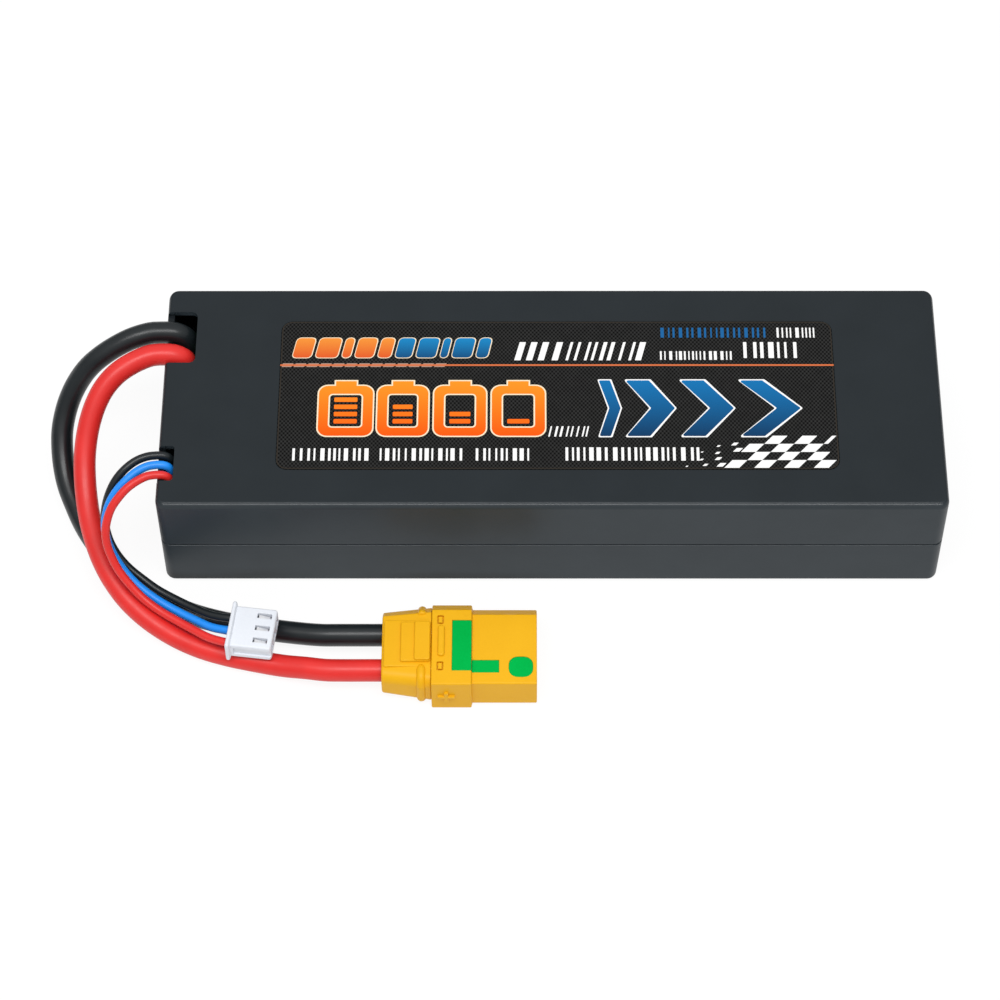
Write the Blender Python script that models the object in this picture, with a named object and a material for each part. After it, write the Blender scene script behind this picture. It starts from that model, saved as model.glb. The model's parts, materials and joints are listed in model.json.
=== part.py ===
"""A two-cell hard-case battery pack for model cars, with its main leads, connector and balance plug.

The origin is the middle of the case's underside. +X runs along the case, away from the end that
the leads come out of, +Y is the back, and +Z is up. Lengths are in metres.
"""

import math

import bmesh
import bpy
from mathutils import Vector

MM = 0.001
GAP = 0.3 * MM  # air left between neighbours that touch

# Case
CASE_LENGTH = 138 * MM
CASE_WIDTH = 47 * MM
CASE_HEIGHT = 24.5 * MM
CASE_WALL = 1.2 * MM
CASE_CORNER = 1.8 * MM
CASE_EDGE = 1.0 * MM
SEAM_HEIGHT = 11.8 * MM
LIP_THICKNESS = 0.45 * MM
LIP_HEIGHT = 0.95 * MM

# Cable notches in the upper case: where each starts and ends along Y, and its depth from the end
MAIN_NOTCH_Y = (7.0 * MM, 18.2 * MM)
MAIN_NOTCH_DEPTH = 5.5 * MM
MAIN_SADDLE_END = 16.9 * MM
BALANCE_NOTCH_Y = (-18.3 * MM, -11.0 * MM)
BALANCE_NOTCH_DEPTH = 2.9 * MM
NOTCH_STEP = 1.1 * MM  # how far the end wall stays below the top at the main notch
SADDLE_ROOM = 0.6 * MM  # between a lead and the end wall under it

# Label
LABEL_LENGTH = 98.5 * MM
LABEL_WIDTH = 32 * MM
LABEL_THICKNESS = 0.2 * MM
LABEL_CENTRE_X = 1.0 * MM
LABEL_CORNER = 2.0 * MM
RECESS_DEPTH = 0.4 * MM

# Cells, pads and terminal board
CELL_X = (-55 * MM, 66 * MM)
CELL_WIDTH = 43 * MM
CELL_THICKNESS = 9.2 * MM
CELL_CORNER = 2.2 * MM
TERRACE_LENGTH = 2.6 * MM
TERRACE_WIDTH = 38 * MM
TERRACE_THICKNESS = 1.2 * MM
LOWER_CELL_Z = 2.4 * MM
UPPER_CELL_Z = 12.7 * MM
PAD_THICKNESS = 0.6 * MM
SHEET_THICKNESS = 0.5 * MM
END_PAD_THICKNESS = 1.2 * MM
TAB_WIDTH = 8 * MM
TAB_THICKNESS = 0.4 * MM
TAB_OFFSET = 12 * MM
TAB_RISE = 2.4 * MM
BOARD_X = (-63 * MM, -62 * MM)
BOARD_WIDTH = 40 * MM
BOARD_Z = (2.4 * MM, 20.4 * MM)

# Leads
MAIN_DIAMETER = 4.0 * MM
MAIN_EXIT_Z = 23.5 * MM
MAIN_TAIL_X = -65.3 * MM
MAIN_ELBOW = 3.4 * MM
MAIN_TAIL_FOOT = {"black": 8 * MM, "red": 13 * MM}
BLACK_EXIT_Y = 14.4 * MM
RED_EXIT_Y = 9.5 * MM
BALANCE_DIAMETER = 1.5 * MM
BALANCE_EXIT_Z = 24.0 * MM
BALANCE_TAIL_X = -66.8 * MM
BALANCE_ELBOW = 1.7 * MM
BALANCE_TAIL_FOOT = 15 * MM
BALANCE_EXIT_Y = {"black": -12.7 * MM, "blue": -14.7 * MM, "red": -16.8 * MM}
TAIL_END_X = -68.9 * MM  # the free leads begin a gap further on
END_RUN = 0.8 * MM  # the straight piece at each end of a free lead

# Main connector, in its own frame: x from the flange's rear face towards the mouth
CONNECTOR_PLACE = (-21 * MM, -41 * MM, 4.1 * MM)
CONTACT_PITCH = 7.2 * MM
CONTACT_RADIUS = 2.15 * MM
SOCKET_RADIUS = 1.75 * MM
CUP_RADIUS = 1.65 * MM
CUP_END = -4.2 * MM
CONTACT_MOUTH = 17.8 * MM
RING_X = (15.7 * MM, 18.1 * MM)
FLANGE_LENGTH = 7.0 * MM
FLANGE_HALF_WIDTH = 8.8 * MM
FLANGE_HALF_HEIGHT = 4.1 * MM
BODY_HALF_WIDTH = 8.25 * MM
BODY_HALF_HEIGHT = 3.4 * MM
BODY_CHAMFER = 2.5 * MM
HOUSING_LENGTH = 18.4 * MM
SHEATH_LENGTH = 8.4 * MM
# The sheath's section at each end: its front and back sides, its half height and its chamfer
SHEATH_REAR = (-6.5 * MM, 7.4 * MM, 3.2 * MM, 1.9 * MM)
SHEATH_FRONT = (-7.5 * MM, 8.4 * MM, 3.65 * MM, 2.3 * MM)
SHEATH_REAR_WALL = 1.1 * MM
SHEATH_WALL = 0.6 * MM
SHEATH_PLAY = 0.35 * MM  # round each lead, where the sheath slides on it

# Balance plug, in its own frame: x along the contacts, towards the mouth
PLUG_PLACE = (-52.1 * MM, -38.6 * MM, 6.8 * MM)
PLUG_TURN = math.radians(-7.2)
PLUG_PITCH = 2.5 * MM
PLUG_LENGTH = 7.3 * MM
PLUG_WIDTH = 8.2 * MM
PLUG_THICKNESS = 3.8 * MM
PLUG_FLANGE_LENGTH = 0.7 * MM
PLUG_FLANGE_WIDTH = 9.4 * MM
PLUG_FLANGE_HEIGHT = 4.9 * MM
PLUG_CHANNEL = 1.9 * MM

# Green inserts of the connector, in its frame: lowest and highest corner in x and y
INSERT_DEPTH = 0.5 * MM
INSERT_ON_FLANGE = ((3.6 * MM, -6.0 * MM), (7.0 * MM, 4.2 * MM))
INSERT_ON_BODY = ((7.3 * MM, -6.0 * MM), (11.8 * MM, -3.5 * MM))
BUTTON_CORNERS = ((13.5 * MM, -6.9 * MM), (17.7 * MM, -2.8 * MM))
BUTTON_RADIUS = 1.6 * MM
RESISTOR_CORNERS = ((4.4 * MM, -1.0 * MM, 2.5 * MM), (6.2 * MM, 0.4 * MM, 3.1 * MM))

# Routes of the free leads, from the case to what they end in
MAIN_ROUTES = {
    "black": [
        (-0.0692, 0.0144, 0.0235), (-0.0705, 0.01438, 0.0235), (-0.0722, 0.0142, 0.0235),
        (-0.0751, 0.0135, 0.0230),
        (-0.0780, 0.0126, 0.0219), (-0.0808, 0.0116, 0.0203), (-0.0833, 0.0105, 0.0183),
        (-0.0853, 0.0092, 0.0159), (-0.0869, 0.0075, 0.0134), (-0.0880, 0.0054, 0.0110),
        (-0.0886, 0.0029, 0.0089), (-0.0886, 0.0001, 0.0070), (-0.0882, -0.0028, 0.0054),
        (-0.0874, -0.0058, 0.0041), (-0.0860, -0.0091, 0.0030), (-0.0843, -0.0127, 0.0023),
        (-0.0821, -0.0164, 0.0021), (-0.0794, -0.0201, 0.0021), (-0.0763, -0.0236, 0.0021),
        (-0.0727, -0.0268, 0.0021), (-0.0685, -0.0296, 0.0021), (-0.0639, -0.0318, 0.0021),
        (-0.0589, -0.0334, 0.0021), (-0.0537, -0.0345, 0.0021), (-0.0487, -0.0355, 0.0025),
        (-0.0443, -0.0365, 0.0032), (-0.0406, -0.0372, 0.0038), (-0.0375, -0.0374, 0.0041),
        (-0.0310, -0.0374, 0.0041), (-0.0255, -0.0374, 0.0041),
    ],
    "red": [
        (-0.0692, 0.0095, 0.0235), (-0.0704, 0.00947, 0.0235), (-0.0721, 0.0091, 0.0235),
        (-0.0749, 0.0080, 0.0229),
        (-0.0776, 0.0064, 0.0220), (-0.0798, 0.0044, 0.0206), (-0.0814, 0.0021, 0.0188),
        (-0.0825, -0.0004, 0.0168), (-0.0832, -0.0031, 0.0147), (-0.0835, -0.0060, 0.0127),
        (-0.0834, -0.0091, 0.0109), (-0.0830, -0.0124, 0.0094), (-0.0823, -0.0159, 0.0082),
        (-0.0812, -0.0196, 0.0073), (-0.0797, -0.0233, 0.0065), (-0.0776, -0.0270, 0.0056),
        (-0.0748, -0.0305, 0.0045), (-0.0712, -0.0336, 0.0034), (-0.0669, -0.0363, 0.0025),
        (-0.0621, -0.0386, 0.0021), (-0.0571, -0.0403, 0.0021), (-0.0521, -0.0415, 0.0021),
        (-0.0473, -0.0427, 0.0025), (-0.0430, -0.0437, 0.0034), (-0.0398, -0.0444, 0.0039),
        (-0.0370, -0.0446, 0.0041), (-0.0310, -0.0446, 0.0041), (-0.0255, -0.0446, 0.0041),
    ],
}
BALANCE_ROUTES = {
    "black": [
        (-0.0692, -0.0127, 0.0240), (-0.0709, -0.01295, 0.0240), (-0.0728, -0.01365, 0.0237),
        (-0.0747, -0.0149, 0.0230), (-0.0763, -0.0163, 0.0218), (-0.0775, -0.0177, 0.0200),
        (-0.0783, -0.0190, 0.0178), (-0.0787, -0.0202, 0.0154), (-0.0785, -0.0214, 0.0130),
        (-0.0778, -0.0227, 0.0108), (-0.0765, -0.0241, 0.0088), (-0.0747, -0.0255, 0.0072),
        (-0.0724, -0.0270, 0.0061), (-0.0697, -0.0288, 0.0054), (-0.0665, -0.0306, 0.0051),
        (-0.0631, -0.0325, 0.0052), (-0.0599, -0.0343, 0.0058), (-0.0565, -0.0355, 0.0067),
    ],
    "blue": [
        (-0.0692, -0.0147, 0.0240), (-0.0708, -0.01505, 0.0240), (-0.0726, -0.01595, 0.0237),
        (-0.0743, -0.0172, 0.0230), (-0.0759, -0.0185, 0.0219), (-0.0772, -0.0198, 0.0203),
        (-0.0780, -0.0210, 0.0184), (-0.0784, -0.0221, 0.0164), (-0.0783, -0.0233, 0.0141),
        (-0.0776, -0.0246, 0.0119), (-0.0764, -0.0260, 0.0098), (-0.0746, -0.0277, 0.0080),
        (-0.0723, -0.0294, 0.0066), (-0.0694, -0.0312, 0.0056), (-0.0660, -0.0331, 0.0051),
        (-0.0627, -0.0350, 0.0052), (-0.0598, -0.0368, 0.0058), (-0.0568, -0.0380, 0.0067),
    ],
    "red": [
        (-0.0692, -0.0168, 0.0240), (-0.0707, -0.0171, 0.0240), (-0.0724, -0.0179, 0.0237),
        (-0.0741, -0.0190, 0.0231), (-0.0756, -0.0203, 0.0221), (-0.0769, -0.0216, 0.0207),
        (-0.0777, -0.0229, 0.0190), (-0.0781, -0.0241, 0.0171), (-0.0780, -0.0253, 0.0150),
        (-0.0773, -0.0266, 0.0127), (-0.0761, -0.0281, 0.0105), (-0.0742, -0.0298, 0.0085),
        (-0.0719, -0.0316, 0.0069), (-0.0690, -0.0335, 0.0059), (-0.0657, -0.0355, 0.0056),
        (-0.0627, -0.0374, 0.0057), (-0.0601, -0.0391, 0.0061), (-0.0571, -0.0404, 0.0067),
    ],
}


def clear_scene():
    for obj in list(bpy.data.objects):
        bpy.data.objects.remove(obj, do_unlink=True)


def make_material(name, colour, roughness, metallic=0.0):
    material = bpy.data.materials.new(name)
    material.use_nodes = True
    shader = material.node_tree.nodes["Principled BSDF"]
    shader.inputs["Base Color"].default_value = (*colour, 1.0)
    shader.inputs["Roughness"].default_value = roughness
    shader.inputs["Metallic"].default_value = metallic
    return material


def make_empty(name, place, turn=0.0):
    empty = bpy.data.objects.new(name, None)
    empty.location = place
    empty.rotation_euler = (0.0, 0.0, turn)
    bpy.context.scene.collection.objects.link(empty)
    return empty


def add_object(name, mesh, material=None, parent=None):
    obj = bpy.data.objects.new(name, mesh)
    if material:
        mesh.materials.append(material)
    obj.parent = parent
    bpy.context.scene.collection.objects.link(obj)
    return obj


def rounded_corners(corners, radii, steps=4):
    """A flat polygon's corners, given in order, each replaced by an arc of its own radius."""
    outline = []
    count = len(corners)
    for index, (corner, radius) in enumerate(zip(corners, radii)):
        here = Vector(corner)
        before = (Vector(corners[index - 1]) - here).normalized()
        after = (Vector(corners[(index + 1) % count]) - here).normalized()
        half = before.angle(after) / 2
        centre = here + (before + after).normalized() * (radius / math.sin(half))
        start = here + before * (radius / math.tan(half)) - centre
        first = math.atan2(start.y, start.x)
        sweep = math.copysign(math.pi - 2 * half, before.x * after.y - before.y * after.x)
        for step in range(steps + 1):
            angle = first - sweep * step / steps
            outline.append(centre + radius * Vector((math.cos(angle), math.sin(angle))))
    return outline


def rectangle(length, width, radius, centre=(0.0, 0.0), steps=4):
    """A rounded rectangle about a centre, anticlockwise."""
    x, y = centre
    a, b = length / 2, width / 2
    corners = [(x - a, y - b), (x + a, y - b), (x + a, y + b), (x - a, y + b)]
    return rounded_corners(corners, [radius] * 4, steps)


def d_section(front, back, half_height, chamfer, inset=0.0, radius=0.4 * MM):
    """The connector's section across its axis: square at the front (-Y), chamfered at the back."""
    y0, y1 = front + inset, back - inset
    z = half_height - inset
    c = chamfer - inset * (2 - math.sqrt(2))
    corners = [(y0, -z), (y1 - c, -z), (y1, -z + c), (y1, z - c), (y1 - c, z), (y0, z)]
    return rounded_corners(corners, [radius] * len(corners), 2)


def circle(radius, centre=(0.0, 0.0), sides=16):
    turn = 2 * math.pi / sides
    return [
        Vector((centre[0] + radius * math.cos(k * turn), centre[1] + radius * math.sin(k * turn)))
        for k in range(sides)
    ]


def level(outline, z):
    """An outline drawn in XY, laid at a height."""
    return [Vector((p.x, p.y, z)) for p in outline]


def across(outline, x):
    """An outline drawn in YZ, stood at a place along X."""
    return [Vector((x, p.x, p.y)) for p in outline]


def skin(name, loops, material=None, parent=None):
    """A closed body through loops that have the same number of points, capped at both ends."""
    mesh = bmesh.new()
    rings = [[mesh.verts.new(point) for point in loop] for loop in loops]
    for ring, following in zip(rings, rings[1:]):
        for k in range(len(ring)):
            mesh.faces.new((ring[k - 1], ring[k], following[k], following[k - 1]))
    mesh.faces.new(rings[0])
    mesh.faces.new(rings[-1])
    bmesh.ops.recalc_face_normals(mesh, faces=mesh.faces)
    data = bpy.data.meshes.new(name)
    mesh.to_mesh(data)
    mesh.free()
    data.shade_smooth()
    data.set_sharp_from_angle(angle=math.radians(30))
    return add_object(name, data, material, parent)


def block(name, low, high, material=None, parent=None, radius=0.0):
    """A box between two corners. A radius rounds its upright edges."""
    size = [b - a for a, b in zip(low, high)]
    middle = [(a + b) / 2 for a, b in zip(low, high)]
    if radius:
        outline = rectangle(size[0], size[1], radius, middle[:2])
    else:
        outline = [
            Vector((low[0], low[1])), Vector((high[0], low[1])),
            Vector((high[0], high[1])), Vector((low[0], high[1])),
        ]
    return skin(name, [level(outline, low[2]), level(outline, high[2])], material, parent)


def cut(obj, cutter):
    """Takes the cutter's shape out of an object, and keeps the cutter out of the model."""
    cutter.hide_render = True
    cutter.display_type = "WIRE"
    modifier = obj.modifiers.new(cutter.name, "BOOLEAN")
    modifier.operation = "DIFFERENCE"
    modifier.object = cutter


def smooth_route(points, spacing):
    """Points on a Catmull-Rom curve through a route, with a short straight piece at each end."""
    route = [Vector(p) for p in points]
    route = [2 * route[0] - route[1], *route, 2 * route[-1] - route[-2]]
    fine = []
    steps = 12
    for a, b, c, d in zip(route, route[1:], route[2:], route[3:]):
        for step in range(steps):
            t = step / steps
            bend = (2 * a - 5 * b + 4 * c - d) * t**2 + (3 * b - 3 * c + d - a) * t**3
            fine.append(b + ((c - a) * t + bend) / 2)
    fine.append(route[-2])
    travelled = [0.0]
    for a, b in zip(fine, fine[1:]):
        travelled.append(travelled[-1] + (b - a).length)
    total = travelled[-1]
    middle = total - 2 * END_RUN
    count = round(middle / spacing)
    stations = [END_RUN + middle * n / count for n in range(count + 1)]
    chosen = []
    k = 0
    for station in [0.0, *stations, total]:
        while k < len(fine) - 2 and travelled[k + 1] < station:
            k += 1
        share = (station - travelled[k]) / (travelled[k + 1] - travelled[k])
        chosen.append(fine[k].lerp(fine[k + 1], share))
    return chosen


def tube(name, points, diameter, material):
    """A round lead with flat ends through a list of points."""
    curve = bpy.data.curves.new(name, "CURVE")
    curve.dimensions = "3D"
    curve.bevel_depth = diameter / 2
    curve.bevel_resolution = 2
    curve.use_fill_caps = True
    spline = curve.splines.new("POLY")
    spline.points.add(len(points) - 1)
    for target, point in zip(spline.points, points):
        target.co = (*point, 1.0)
        target.radius = 1.0
    return add_object(name, curve, material)


def edge_round(radius, steps=3):
    """(inset, rise) pairs of a quarter round, from the flat face to the upright side."""
    quarter = math.pi / 2
    return [
        (radius * (1 - math.sin(quarter * k / steps)), radius * (1 - math.cos(quarter * k / steps)))
        for k in range(steps + 1)
    ]


def case_loop(inset, z):
    radius = max(CASE_CORNER - inset, 0.5 * MM)
    return level(rectangle(CASE_LENGTH - 2 * inset, CASE_WIDTH - 2 * inset, radius), z)


def make_lower_case(material):
    loops = [case_loop(inset, rise) for inset, rise in edge_round(CASE_EDGE)]
    shoulder = SEAM_HEIGHT - GAP / 2
    lip_top = SEAM_HEIGHT + LIP_HEIGHT
    loops += [
        case_loop(0.0, shoulder),
        case_loop(CASE_WALL - LIP_THICKNESS, shoulder),
        case_loop(CASE_WALL - LIP_THICKNESS, lip_top),
        case_loop(CASE_WALL, lip_top),
        case_loop(CASE_WALL, CASE_WALL),
    ]
    return skin("lower_case", loops, material)


def make_upper_case(material):
    loops = [case_loop(inset, CASE_HEIGHT - rise) for inset, rise in edge_round(CASE_EDGE)]
    rim = SEAM_HEIGHT + GAP / 2
    step = SEAM_HEIGHT + LIP_HEIGHT + GAP
    skirt = CASE_WALL - LIP_THICKNESS - GAP
    roof = CASE_HEIGHT - CASE_WALL
    loops += [
        case_loop(0.0, rim),
        case_loop(skirt, rim),
        case_loop(skirt, step),
        case_loop(CASE_WALL, step),
        case_loop(CASE_WALL, roof),
    ]
    case = skin("upper_case", loops, material)
    cut_notches(case)
    cut_label_recess(case)
    return case


def cut_notches(case):
    """The windows in the roof beside the end wall, and the saddles in that wall under the leads."""
    end = -CASE_LENGTH / 2
    inner_face = end + CASE_WALL
    outside = end - 2 * MM
    above = CASE_HEIGHT + 1 * MM
    below_roof = CASE_HEIGHT - CASE_WALL - 1 * MM
    into_window = inner_face + 0.2 * MM
    main_low, main_high = MAIN_NOTCH_Y
    balance_low, balance_high = BALANCE_NOTCH_Y
    main_saddle = MAIN_EXIT_Z - MAIN_DIAMETER / 2 - SADDLE_ROOM
    balance_saddle = BALANCE_EXIT_Z - BALANCE_DIAMETER / 2 - SADDLE_ROOM
    windows = {
        "cut_main_window": (MAIN_NOTCH_Y, MAIN_NOTCH_DEPTH, 1.2 * MM),
        "cut_balance_window": (BALANCE_NOTCH_Y, BALANCE_NOTCH_DEPTH, 0.6 * MM),
    }
    saddles = {
        "cut_main_step": (main_low, main_high, CASE_HEIGHT - NOTCH_STEP),
        "cut_main_saddle": (main_low, MAIN_SADDLE_END, main_saddle),
        "cut_balance_saddle": (balance_low, balance_high, balance_saddle),
    }
    for name, ((y0, y1), depth, radius) in windows.items():
        corners = [(inner_face, y0), (end + depth, y0), (end + depth, y1), (inner_face, y1)]
        square = 0.05 * MM
        outline = rounded_corners(corners, [square, radius, radius, square])
        cut(case, skin(name, [level(outline, below_roof), level(outline, above)]))
    for name, (y0, y1, floor) in saddles.items():
        cut(case, block(name, (outside, y0, floor), (into_window, y1, above)))


def cut_label_recess(case):
    outline = rectangle(
        LABEL_LENGTH + 2 * GAP, LABEL_WIDTH + 2 * GAP, LABEL_CORNER, (LABEL_CENTRE_X, 0.0)
    )
    loops = [level(outline, CASE_HEIGHT - RECESS_DEPTH), level(outline, CASE_HEIGHT + 1 * MM)]
    cut(case, skin("cut_label_recess", loops))


def make_label(material):
    outline = rectangle(LABEL_LENGTH, LABEL_WIDTH, LABEL_CORNER, (LABEL_CENTRE_X, 0.0))
    under = CASE_HEIGHT - RECESS_DEPTH + GAP
    return skin("top_label", [level(outline, under), level(outline, under + LABEL_THICKNESS)], material)


def make_cell(name, base, material):
    """A pouch cell: the sealed terrace that the tabs come out of, then the body."""
    start, end = CELL_X
    middle = base + CELL_THICKNESS / 2

    def section(width, thickness, radius, x):
        return across(rectangle(width, thickness, radius, (0.0, middle), 2), x)

    loops = [
        section(TERRACE_WIDTH, TERRACE_THICKNESS, 0.3 * MM, start - TERRACE_LENGTH),
        section(TERRACE_WIDTH, TERRACE_THICKNESS, 0.3 * MM, start),
        section(CELL_WIDTH - 2 * MM, CELL_THICKNESS - 2 * MM, CELL_CORNER / 2, start + 0.2 * MM),
        section(CELL_WIDTH, CELL_THICKNESS, CELL_CORNER, start + 1.4 * MM),
        section(CELL_WIDTH, CELL_THICKNESS, CELL_CORNER, end - 1.2 * MM),
        section(CELL_WIDTH - 2 * MM, CELL_THICKNESS - 2 * MM, CELL_CORNER / 2, end),
    ]
    return skin(name, loops, material)


def make_tab(name, cell_base, y, material):
    """A tab that runs from the cell's terrace to the board and turns up along it."""
    near = CELL_X[0] - TERRACE_LENGTH - GAP
    far = BOARD_X[1] + GAP
    z = cell_base + CELL_THICKNESS / 2 - TAB_THICKNESS / 2
    corners = [
        (near, z), (near, z + TAB_THICKNESS), (far + TAB_THICKNESS, z + TAB_THICKNESS),
        (far + TAB_THICKNESS, z + TAB_RISE), (far, z + TAB_RISE), (far, z),
    ]
    loops = [[Vector((x, side, height)) for x, height in corners]
             for side in (y - TAB_WIDTH / 2, y + TAB_WIDTH / 2)]
    return skin(name, loops, material)


def make_series_link(material):
    """The strip that joins the lower cell's positive tab to the upper cell's negative tab."""
    x = BOARD_X[1] + GAP
    low = LOWER_CELL_Z + CELL_THICKNESS / 2 + TAB_RISE + GAP
    high = UPPER_CELL_Z + CELL_THICKNESS / 2 - TAB_THICKNESS / 2 - GAP
    half = TAB_WIDTH / 2
    return block(
        "series_link",
        (x, -TAB_OFFSET - half, low),
        (x + TAB_THICKNESS, -TAB_OFFSET + half, high),
        material,
    )


def make_pads(foam, adhesive):
    start, end = CELL_X
    half = CELL_WIDTH / 2 - 1 * MM
    heights = {
        "foam_pad_bottom": (LOWER_CELL_Z - GAP - PAD_THICKNESS, PAD_THICKNESS, foam),
        "adhesive_sheet": (LOWER_CELL_Z + CELL_THICKNESS + GAP, SHEET_THICKNESS, adhesive),
        "foam_pad_top": (UPPER_CELL_Z + CELL_THICKNESS + GAP, PAD_THICKNESS, foam),
    }
    for name, (base, thickness, material) in heights.items():
        block(name, (start + 2 * MM, -half, base), (end - 2 * MM, half, base + thickness),
              material, radius=2 * MM)
    pad_start = end + GAP
    block("foam_pad_end", (pad_start, -half, LOWER_CELL_Z),
          (pad_start + END_PAD_THICKNESS, half, UPPER_CELL_Z + CELL_THICKNESS), foam)


def make_board(material):
    return block(
        "terminal_board",
        (BOARD_X[0], -BOARD_WIDTH / 2, BOARD_Z[0]),
        (BOARD_X[1], BOARD_WIDTH / 2, BOARD_Z[1]),
        material,
    )


def elbow(x, y, top, radius, steps=5):
    """Points of a quarter turn from straight up at x to level, and on to the case's mouth."""
    turn = math.pi / 2
    bend = [
        (x - radius + radius * math.cos(turn * k / steps), y,
         top - radius + radius * math.sin(turn * k / steps))
        for k in range(steps + 1)
    ]
    return bend + [(TAIL_END_X, y, top)]


def make_main_tail(colour, y, material, solder):
    """The main lead inside the case, and the solder joint between it and the board."""
    foot = MAIN_TAIL_FOOT[colour]
    points = [(MAIN_TAIL_X, y, foot), *elbow(MAIN_TAIL_X, y, MAIN_EXIT_Z, MAIN_ELBOW)]
    tube(f"main_tail_{colour}", points, MAIN_DIAMETER, material)
    reach = MAIN_DIAMETER / 2 - 0.4 * MM
    top = foot - GAP
    low = (MAIN_TAIL_X - reach, y - reach, top - 3 * MM)
    high = (BOARD_X[0] - GAP, y + reach, top)
    block(f"board_solder_{colour}", low, high, solder, radius=0.8 * MM)


def make_balance_tail(colour, material, solder):
    """A balance lead inside the case, which turns towards the board at its foot."""
    y = BALANCE_EXIT_Y[colour]
    foot = BALANCE_TAIL_FOOT
    solder_radius = 0.5 * MM
    tip = BOARD_X[0] - 2 * GAP - 2 * solder_radius
    points = [
        (tip, y, foot),
        (BALANCE_TAIL_X + 0.8 * MM, y, foot + 0.5 * MM),
        (BALANCE_TAIL_X, y, foot + 2 * MM),
        *elbow(BALANCE_TAIL_X, y, BALANCE_EXIT_Z, BALANCE_ELBOW),
    ]
    tube(f"balance_tail_{colour}", points, BALANCE_DIAMETER, material)
    loops = [
        across(circle(solder_radius, (y, foot), 8), tip + GAP),
        across(circle(1.6 * solder_radius, (y, foot), 8), BOARD_X[0] - GAP),
    ]
    skin(f"balance_solder_{colour}", loops, solder)


def make_free_leads(colours):
    for colour, route in MAIN_ROUTES.items():
        points = smooth_route(route, 1.5 * MAIN_DIAMETER)
        tube(f"main_lead_{colour}", points, MAIN_DIAMETER, colours[colour])
    for colour, route in BALANCE_ROUTES.items():
        points = smooth_route(route, 2 * BALANCE_DIAMETER)
        tube(f"balance_lead_{colour}", points, BALANCE_DIAMETER, colours[colour])


def flange_section(inset=0.0):
    return d_section(-FLANGE_HALF_WIDTH, FLANGE_HALF_WIDTH, FLANGE_HALF_HEIGHT, BODY_CHAMFER, inset)


def body_section(inset=0.0):
    return d_section(-BODY_HALF_WIDTH, BODY_HALF_WIDTH, BODY_HALF_HEIGHT, BODY_CHAMFER, inset)


def make_connector_housing(frame, material):
    edge = 0.3 * MM
    loops = [
        across(flange_section(edge), 0.0),
        across(flange_section(), edge),
        across(flange_section(), FLANGE_LENGTH - edge),
        across(flange_section(edge), FLANGE_LENGTH),
        across(body_section(), FLANGE_LENGTH),
        across(body_section(), HOUSING_LENGTH - edge),
        across(body_section(edge), HOUSING_LENGTH),
    ]
    housing = skin("connector_housing", loops, material, frame)
    for side, pole in ((1, "negative"), (-1, "positive")):
        outline = circle(CONTACT_RADIUS + GAP, (side * CONTACT_PITCH / 2, 0.0))
        ends = [across(outline, x) for x in (-1 * MM, HOUSING_LENGTH + 1 * MM)]
        cut(housing, skin(f"cut_bore_{pole}", ends, parent=frame))
    cut_insert_pockets(housing, frame)


def cut_insert_pockets(housing, frame):
    above = 5 * MM
    flange_floor = FLANGE_HALF_HEIGHT - INSERT_DEPTH - GAP
    body_floor = BODY_HALF_HEIGHT - INSERT_DEPTH - GAP
    low, high = RESISTOR_CORNERS
    pockets = {
        "cut_insert_flange": (INSERT_ON_FLANGE, flange_floor, 0.0),
        "cut_insert_body": (INSERT_ON_BODY, body_floor, 0.0),
        "cut_button": (BUTTON_CORNERS, body_floor, BUTTON_RADIUS + GAP),
        "cut_resistor": ((low[:2], high[:2]), low[2] - GAP, 0.0),
    }
    for name, (((x0, y0), (x1, y1)), floor, radius) in pockets.items():
        low_corner = (x0 - GAP, y0 - GAP, floor)
        high_corner = (x1 + GAP, y1 + GAP, above)
        cut(housing, block(name, low_corner, high_corner, parent=frame, radius=radius))


def make_antispark_pieces(frame, green, black):
    """Two flat inserts and a button, flush with the housing; a resistor; a ring in a bore."""
    plates = {
        "antispark_insert_flange": (INSERT_ON_FLANGE, FLANGE_HALF_HEIGHT, 0.0),
        "antispark_insert_body": (INSERT_ON_BODY, BODY_HALF_HEIGHT, 0.0),
        "antispark_button": (BUTTON_CORNERS, BODY_HALF_HEIGHT, BUTTON_RADIUS),
    }
    for name, ((low, high), top, radius) in plates.items():
        block(name, (*low, top - INSERT_DEPTH), (*high, top), green, frame, radius)
    block("antispark_resistor", *RESISTOR_CORNERS, black, frame)
    start, end = RING_X
    profile = [
        (start, SOCKET_RADIUS),
        (end, SOCKET_RADIUS),
        (end, CONTACT_RADIUS),
        (start, CONTACT_RADIUS),
    ]
    ring_of(profile, "antispark_ring", (-CONTACT_PITCH / 2, 0.0), green, frame)


def ring_of(profile, name, centre, material, parent):
    """A ring about a line along X: a closed profile of (x, radius) turned about it."""
    mesh = bmesh.new()
    rings = [
        [mesh.verts.new(point) for point in across(circle(radius, centre), x)]
        for x, radius in profile
    ]
    for ring, following in zip(rings, rings[1:] + rings[:1]):
        for k in range(len(ring)):
            mesh.faces.new((ring[k - 1], ring[k], following[k], following[k - 1]))
    bmesh.ops.recalc_face_normals(mesh, faces=mesh.faces)
    data = bpy.data.meshes.new(name)
    mesh.to_mesh(data)
    mesh.free()
    return add_object(name, data, material, parent)


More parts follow.
